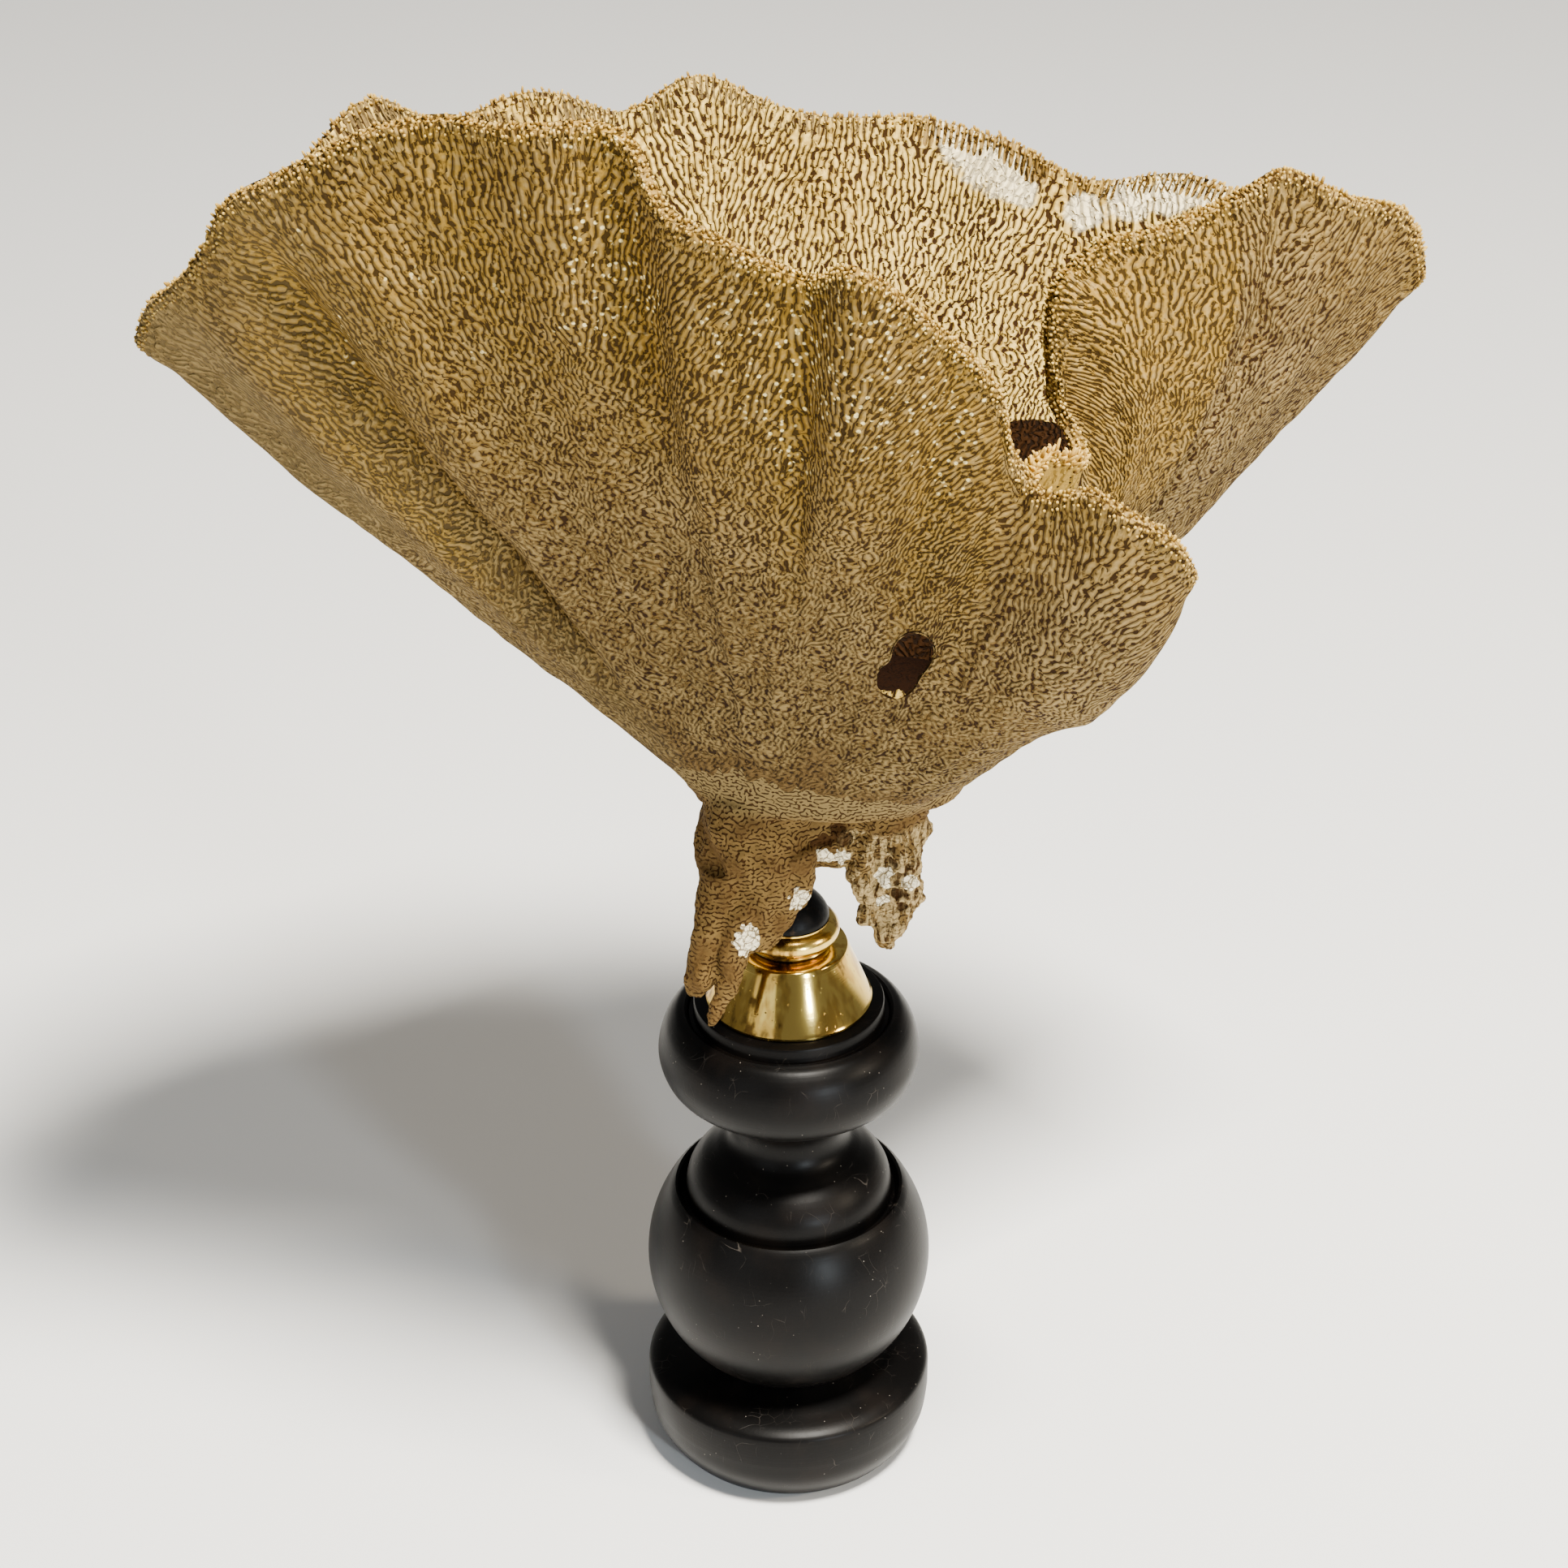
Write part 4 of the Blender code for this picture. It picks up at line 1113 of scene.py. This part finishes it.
def sponge_wall_finish(name, settings, inside):
    """The wall's finish: a maze of pale ridges and brown grooves, golden at the rim, brown at the root, with
    painted golden shade on the front, painted glints outside and painted shade deep inside the cup.
    """
    paint = Paint(name)
    place = paint.place()
    ridge, height = maze(paint, place, settings.cell_width / MM, 0.30, 0.90)
    glint_zone, second, special = paint.parts(paint.attribute("zones"))
    patch, broad, gold_and_painted_light = paint.parts(paint.attribute("tones"))
    grain = paint.noise(place, 0.6, 1.0, 0.6)
    beads = paint.noise(place, 1.7, 0.0)
    ridge = ridge - paint.step(beads, 0.42, 0.34) * 0.24
    groove = tuple(settings.groove)
    golden = tuple(settings.golden)
    main = tuple(settings.cream if inside else settings.straw)
    edge = patch * 0.03 + gold_and_painted_light * 0.03 + (0.03 if inside else paint.step(height, 0.35, 0.75) * 0.03 - 0.025)
    top = paint.step(ridge, edge, edge + 0.10)
    crown = paint.step(ridge, -0.02, 0.42)
    # a low broad tone darkens the ridges; over the front wall it is painted shade
    ridges = paint.mix(paint.step(broad, 0.3, 0.7), darker(main, 0.78, 0.74, 0.66), main)
    ridges = paint.mix(paint.step(patch, 0.45, 0.85) * 0.5, ridges, darker(main, 1.3))
    # golden at the rim and on the right lobe, and as painted golden shade and highlight on the front
    ridges = paint.mix(gold_and_painted_light * 0.85, ridges, golden)
    ridges = paint.mix(paint.step(ridge, 0.34, 0.10) * 0.6, ridges, darker(golden, 0.42, 0.36, 0.30))
    ridges = paint.mix(paint.step(beads, 0.50, 0.72) * 0.5, ridges, darker(main, 1.45))
    deep = paint.mix(gold_and_painted_light * 0.6, groove, darker(golden, 0.16))
    colour = paint.mix(top, deep, ridges)
    dots = paint.dots(place * (1.0 / 2.3))
    relief = crown * 0.85 + grain * 0.10 + beads * 0.15
    if inside:
        # towards the cup's bottom the inside turns to a near-black brown: the flesh's own brown, darkened
        # further with painted shade
        root = paint.step(height + (patch - 0.5) * 0.10, 0.46, 0.26)
        flesh = darker(settings.root_brown, 0.14, 0.09, 0.05)
        colour = paint.mix(root * 0.95, colour, paint.mix(top, darker(flesh, 0.3), flesh))
        # painted shade: the hollows low in the cup are made a near-black brown
        hollow = paint.step(special + (beads - 0.5) * 0.5, 0.40, 0.60)
        painted_shade_brown = darker(settings.root_brown, 0.16, 0.11, 0.08)
        colour = paint.mix(hollow, colour, paint.mix(top, darker(groove, 0.3), painted_shade_brown))
        crusted = paint.step(second + (paint.noise(place, 4.0, 3.0) - 0.5) * 1.3, 0.34, 0.80)
        cracks = paint.step(paint.edges(place * (1.0 / 4.0)), 0.015, 0.06)
        chalky = paint.mix(cracks, darker(settings.chalk, 0.5), darker(settings.chalk, 1.0, 0.98, 0.88))
        colour = paint.mix(crusted * (0.45 + top * 0.45), colour, chalky)
        rough = 0.8
    else:
        root = paint.step(height + (patch - 0.5) * 0.14, 0.20, 0.06)
        flesh = tuple(settings.root_brown)
        colour = paint.mix(root * 0.75, colour, paint.mix(top, darker(flesh, 0.22), flesh))
        colour = paint.mix(second * 0.75, colour, darker(main, 0.74, 0.76, 0.80))
        pores = paint.step(dots, 0.20, 0.12)
        colour = paint.mix(special, colour, darker(settings.cream, 0.72, 0.62, 0.42))
        colour = paint.mix(pores * paint.most(special, 0.55 - glint_zone), colour, groove)
        # painted glints: bright dots on the ridge tops stand for sparkling highlights
        painted_glint = paint.step(dots, 0.31, 0.19) * paint.step(patch * 0.7 + glint_zone, 0.88, 1.10)
        painted_glint = painted_glint * paint.step(beads, 0.40, 0.52)
        colour = paint.mix(painted_glint, colour, (1.0, 0.80, 0.34))
        rough = 0.78 - painted_glint * 0.5
        colour = colour * (0.74 + paint.step(height, 0.15, 0.60) * 0.26)
    colour = colour * (0.80 + grain * 0.40)
    relief = paint.bump(relief, settings.ridge_height / MM)
    paint.set(Base_Color=colour, Roughness=rough, Normal=relief, Specular_IOR_Level=0.06)
    return paint.material


def papilla_finish(settings):
    """The little fingers on the rim: brown at their feet, golden, with pale tips."""
    paint = Paint("sponge papillae")
    place = paint.place()
    tip, pale, tuft = paint.parts(paint.attribute("finger"))
    foot = darker(settings.golden, 0.35, 0.28, 0.22)
    body = paint.mix(pale, darker(settings.golden, 0.95), darker(settings.cream, 0.9, 0.85, 0.7))
    body = paint.mix(tuft, body, darker(settings.cream, 0.95, 0.82, 0.55))
    colour = paint.mix(paint.step(tip, 0.05, 0.55), foot, body)
    colour = paint.mix(paint.step(tip, 0.6, 1.0) * 0.4, colour, (0.72, 0.50, 0.17))
    colour = colour * (0.8 + paint.noise(place, 0.9, 1.0) * 0.4)
    paint.set(Base_Color=colour, Roughness=0.6, Specular_IOR_Level=0.15)
    return paint.material


def hole_finish(settings):
    """The brown fibrous flesh inside the hole."""
    paint = Paint("sponge flesh")
    place = paint.place()
    ridge = paint.edges(place * (1.0 / 2.2))
    grain = paint.noise(place, 0.8, 2.0)
    flesh = darker(settings.root_brown, 0.22, 0.16, 0.10)
    colour = paint.mix(paint.step(ridge, 0.05, 0.2), darker(settings.groove, 0.3), flesh)
    paint.set(Base_Color=colour * (0.7 + grain * 0.6), Normal=paint.bump(ridge, 1.2), Roughness=0.85,
              Specular_IOR_Level=0.05)
    return paint.material


def holdfast_finish(settings):
    """The holdfast's finish: small knobbly cells, torn brown layers and chalky crust, with painted shade in
    its crevices and on the plug's top inside the cup.
    """
    paint = Paint("sponge holdfast")
    place = paint.place()
    chalk, torn, low = paint.parts(paint.attribute("patches"))
    ridge = paint.ridges("3D", place, KNOB_WIDTH, Anisotropy=0.0)
    patch = paint.noise(place, 8.0, 2.0)
    grain = paint.noise(place, 0.6, 3.0, 0.65)
    faint = paint.step(patch, 0.52, 0.68) * low
    top = paint.most(paint.step(ridge, 0.02, 0.20), faint * 0.8)
    brown = tuple(settings.root_brown)
    flesh = paint.mix(paint.step(patch, 0.35, 0.65), darker(brown, 1.15, 1.25, 1.3), darker(brown, 0.75))
    upper = paint.mix(paint.step(low, 0.7, 0.1), flesh, darker(settings.straw, 0.8))
    colour = paint.mix(top, darker(brown, 0.26, 0.18, 0.12), upper)
    strata = paint.noise(place * (1.2, 1.2, 0.35), 2.0, 3.0, 0.62)
    ragged = paint.mix(paint.step(strata, 0.38, 0.58), darker(brown, 0.32, 0.26, 0.22), (0.43, 0.305, 0.13))
    bare = paint.step(patch + (strata - 0.5) * 0.8, 0.34, 0.50)
    colour = paint.mix(paint.step(torn, 0.4, 0.9) * bare, colour, ragged)
    limy = paint.step(chalk, 0.25, 0.45)
    cracks = paint.step(paint.edges(place * (1.0 / 2.4) + grain * 0.5), 0.02, 0.10)
    chalky = paint.mix(cracks, darker(settings.chalk, 0.22, 0.18, 0.13), tuple(settings.chalk))
    colour = paint.mix(limy, colour, chalky)
    # painted shade darkens the crevices
    colour = paint.mix(paint.step(chalk, -0.15, -0.6) * 0.85, colour, darker(brown, 0.25, 0.16, 0.1))
    # painted shade: the plug's top, deep in the cup, is made near black
    colour = paint.mix(paint.step(low, -0.1, -0.6), colour, darker(brown, 0.05, 0.025, 0.012))
    colour = colour * (0.75 + grain * 0.50)
    relief = top * 0.6 + strata * torn * 0.6 + grain * 0.15
    paint.set(Base_Color=colour, Normal=paint.bump(relief, 1.2), Roughness=0.82, Specular_IOR_Level=0.06)
    return paint.material


def wood_finish(settings):
    """Ebonised wood: black stain under wax, with turning lines, fine scratches, wear and dust."""
    paint = Paint("ebonised wood")
    place = paint.place()
    z = paint.parts(place)[2]
    lines = paint.noise(paint.vector(0.0, 0.0, z), 0.7, 3.0, 0.6)
    fibres = paint.noise(place * (1.0, 1.0, 0.10), 1.1, 3.0, 0.6)
    cloud = paint.noise(place, 16.0, 3.0)
    bent = place + paint.noise(place, 14.0, 1.0, colour=True) * 14.0
    scratch = paint.step(paint.edges(bent * (0.22, 0.22, 0.05)), 0.010, 0.002)
    scratch = scratch * paint.step(paint.noise(place, 9.0, 2.0), 0.54, 0.70)
    dust = paint.step(paint.dots(place * (1.0 / 2.6)), 0.085, 0.04)
    dust = dust * paint.step(paint.noise(place, 12.0, 2.0), 0.46, 0.66)
    ebony = tuple(settings.ebony)
    warm = (0.0045, 0.0030, 0.0022)
    colour = paint.mix(paint.step(cloud, 0.45, 0.75) * 0.7, ebony, warm)
    colour = paint.mix(scratch * 0.35, colour, (0.10, 0.085, 0.07))
    colour = paint.mix(dust * 0.7, colour, (0.30, 0.27, 0.23))
    rough = 0.27 + cloud * 0.16 + lines * 0.06 + scratch * 0.2 + dust * 0.3
    relief = lines * 0.5 + fibres * 0.35 - scratch * 0.6 + dust * 0.5
    paint.set(Base_Color=colour, Roughness=rough, Normal=paint.bump(relief, 0.06), Specular_IOR_Level=0.10)
    return paint.material


def brass_finish(name, settings, worn):
    """Polished brass with painted reflections in upright stripes of deep golden and deep brown; the brown
    ones are also tarnish where it isn't rubbed, spreading the more worn it is; and tarnish spots.
    """
    paint = Paint(name)
    place = paint.place()
    z = paint.parts(place)[2]
    turning = paint.noise(paint.vector(0.0, 0.0, z), 0.35, 2.0)
    reflection_streaks = paint.noise(place * (1.0, 1.0, 0.03), 7.5, 3.0, 0.6)
    cloud = paint.noise(place, 7.5, 4.0, 0.6)
    spots = paint.step(paint.dots(place * (1.0 / 1.9)), 0.20, 0.08)
    spots = spots * paint.step(paint.noise(place, 4.0, 2.0), 0.5, 0.62)
    # painted reflections in upright stripes; on worn brass the brown ones are partly real tarnish
    amber_reflection = paint.step(reflection_streaks, 0.56, 0.47)
    brown = paint.step(reflection_streaks * 0.7 + cloud * 0.3, 0.47 + worn * 0.3, 0.38 + worn * 0.3)
    colour = paint.mix(amber_reflection * 0.6, tuple(settings.brass), darker(settings.brass, 0.60, 0.45, 0.30))
    colour = paint.mix(brown * 0.9, colour, darker(settings.tarnish, 0.6))
    colour = paint.mix(spots * 0.8, colour, darker(settings.tarnish, 0.5))
    rough = 0.09 + worn * 0.7 + cloud * 0.06 + brown * 0.12 + spots * 0.3
    relief = turning * 0.25 + cloud * worn * 3.0 - spots * 0.8
    paint.set(Base_Color=colour, Roughness=rough, Normal=paint.bump(relief, 0.05 + worn * 0.4), Metallic=1.0)
    return paint.material


def tip_finish():
    """The black tip: painted and rubbed brown in patches."""
    paint = Paint("black tip")
    place = paint.place()
    wear = paint.noise(place, 3.0, 4.0, 0.65)
    colour = paint.mix(paint.step(wear, 0.58, 0.72), (0.003, 0.003, 0.003), (0.030, 0.018, 0.010))
    paint.set(Base_Color=colour, Roughness=0.30 + wear * 0.25, Normal=paint.bump(wear, 0.15),
              Specular_IOR_Level=0.08)
    return paint.material


def floor_finish(settings):
    """A plain pale floor."""
    paint = Paint("pale floor")
    paint.set(Base_Color=tuple(settings.floor_colour), Roughness=0.9)
    return paint.material


def add_light(name, place, target, size, power, colour):
    """A square area light that points at a place."""
    lamp = bpy.data.lights.new(name, "AREA")
    lamp.shape = "SQUARE"
    lamp.size = size
    lamp.energy = power
    lamp.color = colour
    thing = bpy.data.objects.new(name, lamp)
    thing.location = place
    thing.rotation_euler = (Vector(target) - Vector(place)).to_track_quat("-Z", "Y").to_euler()
    bpy.context.scene.collection.objects.link(thing)
    return thing


class SPONGE_OT_wall(bpy.types.Operator):
    """Build both sides of the funnel's wall and the lining of its hole"""
    bl_idname = "sponge.wall"
    bl_label = "Funnel wall"

    def execute(self, context):
        settings = context.scene.sponge_settings
        outer = wall_side("outer_wall", 1, settings, sponge_wall_finish("sponge outside", settings, False))
        inner = wall_side("inner_wall", -1, settings, sponge_wall_finish("sponge inside", settings, True))
        hole_lining((outer, inner), hole_finish(settings))
        return {"FINISHED"}


class SPONGE_OT_fringe(bpy.types.Operator):
    """Build the toothed edge of the rim"""
    bl_idname = "sponge.fringe"
    bl_label = "Rim fringe"

    def execute(self, context):
        settings = context.scene.sponge_settings
        fringe(settings, bpy.data.materials["sponge outside"])
        papillae(settings, papilla_finish(settings))
        return {"FINISHED"}


class SPONGE_OT_holdfast(bpy.types.Operator):
    """Build the torn holdfast with its two prongs"""
    bl_idname = "sponge.holdfast"
    bl_label = "Holdfast"

    def execute(self, context):
        holdfast(holdfast_finish(context.scene.sponge_settings))
        return {"FINISHED"}


class SPONGE_OT_stand(bpy.types.Operator):
    """Build the wooden pedestal, the brass cone and bead, and the black tip"""
    bl_idname = "sponge.stand"
    bl_label = "Stand"

    def execute(self, context):
        settings = context.scene.stand_settings
        wood = wood_finish(settings)
        polished = brass_finish("polished brass", settings, 0.0)
        tarnished = brass_finish("tarnished brass", settings, 0.14)
        turned("ebonised_baluster", pedestal_profile(), wood, "turned_pedestal", sharp=28.0)
        turned("cone_polished", cone_profile(), polished, "brass_cone")
        turned("bead_tarnished", bead_profile(), tarnished, "brass_bead")
        turned("tip_black", tip_profile(), tip_finish(), "spike")
        return {"FINISHED"}


class SPONGE_OT_stage(bpy.types.Operator):
    """Set the floor, the lights and the camera"""
    bl_idname = "sponge.stage"
    bl_label = "Stage"

    def execute(self, context):
        settings = context.scene.stage_settings
        corners = [(x * FLOOR_HALF, y * FLOOR_HALF, 0) for x, y in ((-1, -1), (1, -1), (1, 1), (-1, 1))]
        floor = mesh_object("floor", corners, [(0, 1, 2, 3)], floor_finish(settings))
        middle = (0.0, 0.0, 0.30)
        waist = (0.0, 0.0, 0.15)
        fill = settings.fill_power
        add_light("key", (0.40, -0.55, 1.95), middle, 0.36, settings.key_power, (1.0, 0.95, 0.86))
        add_light("fill", (-1.3, -1.6, 0.9), middle, 1.4, fill, (0.90, 0.95, 1.0))
        add_light("window", (1.0, -1.65, 0.55), waist, 0.16, fill * 3.6, (0.84, 0.93, 1.0))
        add_light("warm side", (1.5, -0.5, 0.95), waist, 0.22, fill * 2.0, (1.0, 0.86, 0.66))
        world = bpy.data.worlds.new("studio")
        world.use_nodes = True
        background = world.node_tree.nodes["Background"].inputs
        background["Color"].default_value = (1.0, 0.99, 0.97, 1.0)
        background["Strength"].default_value = settings.sky
        context.scene.world = world
        lens = bpy.data.cameras.new("camera")
        lens.sensor_width = SENSOR_WIDTH
        lens.lens = FOCAL_PIXELS / FRAME_PIXELS * SENSOR_WIDTH
        camera = bpy.data.objects.new("camera", lens)
        camera.location = CAMERA_PLACE
        camera.rotation_euler = (math.radians(CAMERA_TILT), 0.0, 0.0)
        context.scene.collection.objects.link(camera)
        context.scene.camera = camera
        return {"FINISHED"}


class SPONGE_PT_panel(bpy.types.Panel):
    """Settings and steps of the sponge, its stand and the stage"""
    bl_label = "Cup sponge"
    bl_space_type = "VIEW_3D"
    bl_region_type = "UI"
    bl_category = "Sponge"

    def draw(self, context):
        for group in GROUPS:
            settings = getattr(context.scene, group)
            column = self.layout.column()
            for key in settings.__annotations__:
                column.prop(settings, key)
        for step in STEPS:
            self.layout.operator(step.bl_idname)


STEPS = (SPONGE_OT_wall, SPONGE_OT_fringe, SPONGE_OT_holdfast, SPONGE_OT_stand, SPONGE_OT_stage)
GROUPS = {"sponge_settings": SpongeSettings, "stand_settings": StandSettings, "stage_settings": StageSettings}
CLASSES = (*GROUPS.values(), *STEPS, SPONGE_PT_panel)


def register():
    """Adds the classes and the scene's settings to Blender."""
    for kind in CLASSES:
        bpy.utils.register_class(kind)
    for group, kind in GROUPS.items():
        setattr(bpy.types.Scene, group, PointerProperty(type=kind))


def unregister():
    """Takes the settings and classes out again."""
    for group in GROUPS:
        delattr(bpy.types.Scene, group)
    for kind in reversed(CLASSES):
        bpy.utils.unregister_class(kind)


def main():
    """Builds every piece in order."""
    register()
    bpy.ops.sponge.wall()
    bpy.ops.sponge.fringe()
    bpy.ops.sponge.holdfast()
    bpy.ops.sponge.stand()
    bpy.ops.sponge.stage()
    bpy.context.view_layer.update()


if __name__ == "__main__":
    main()
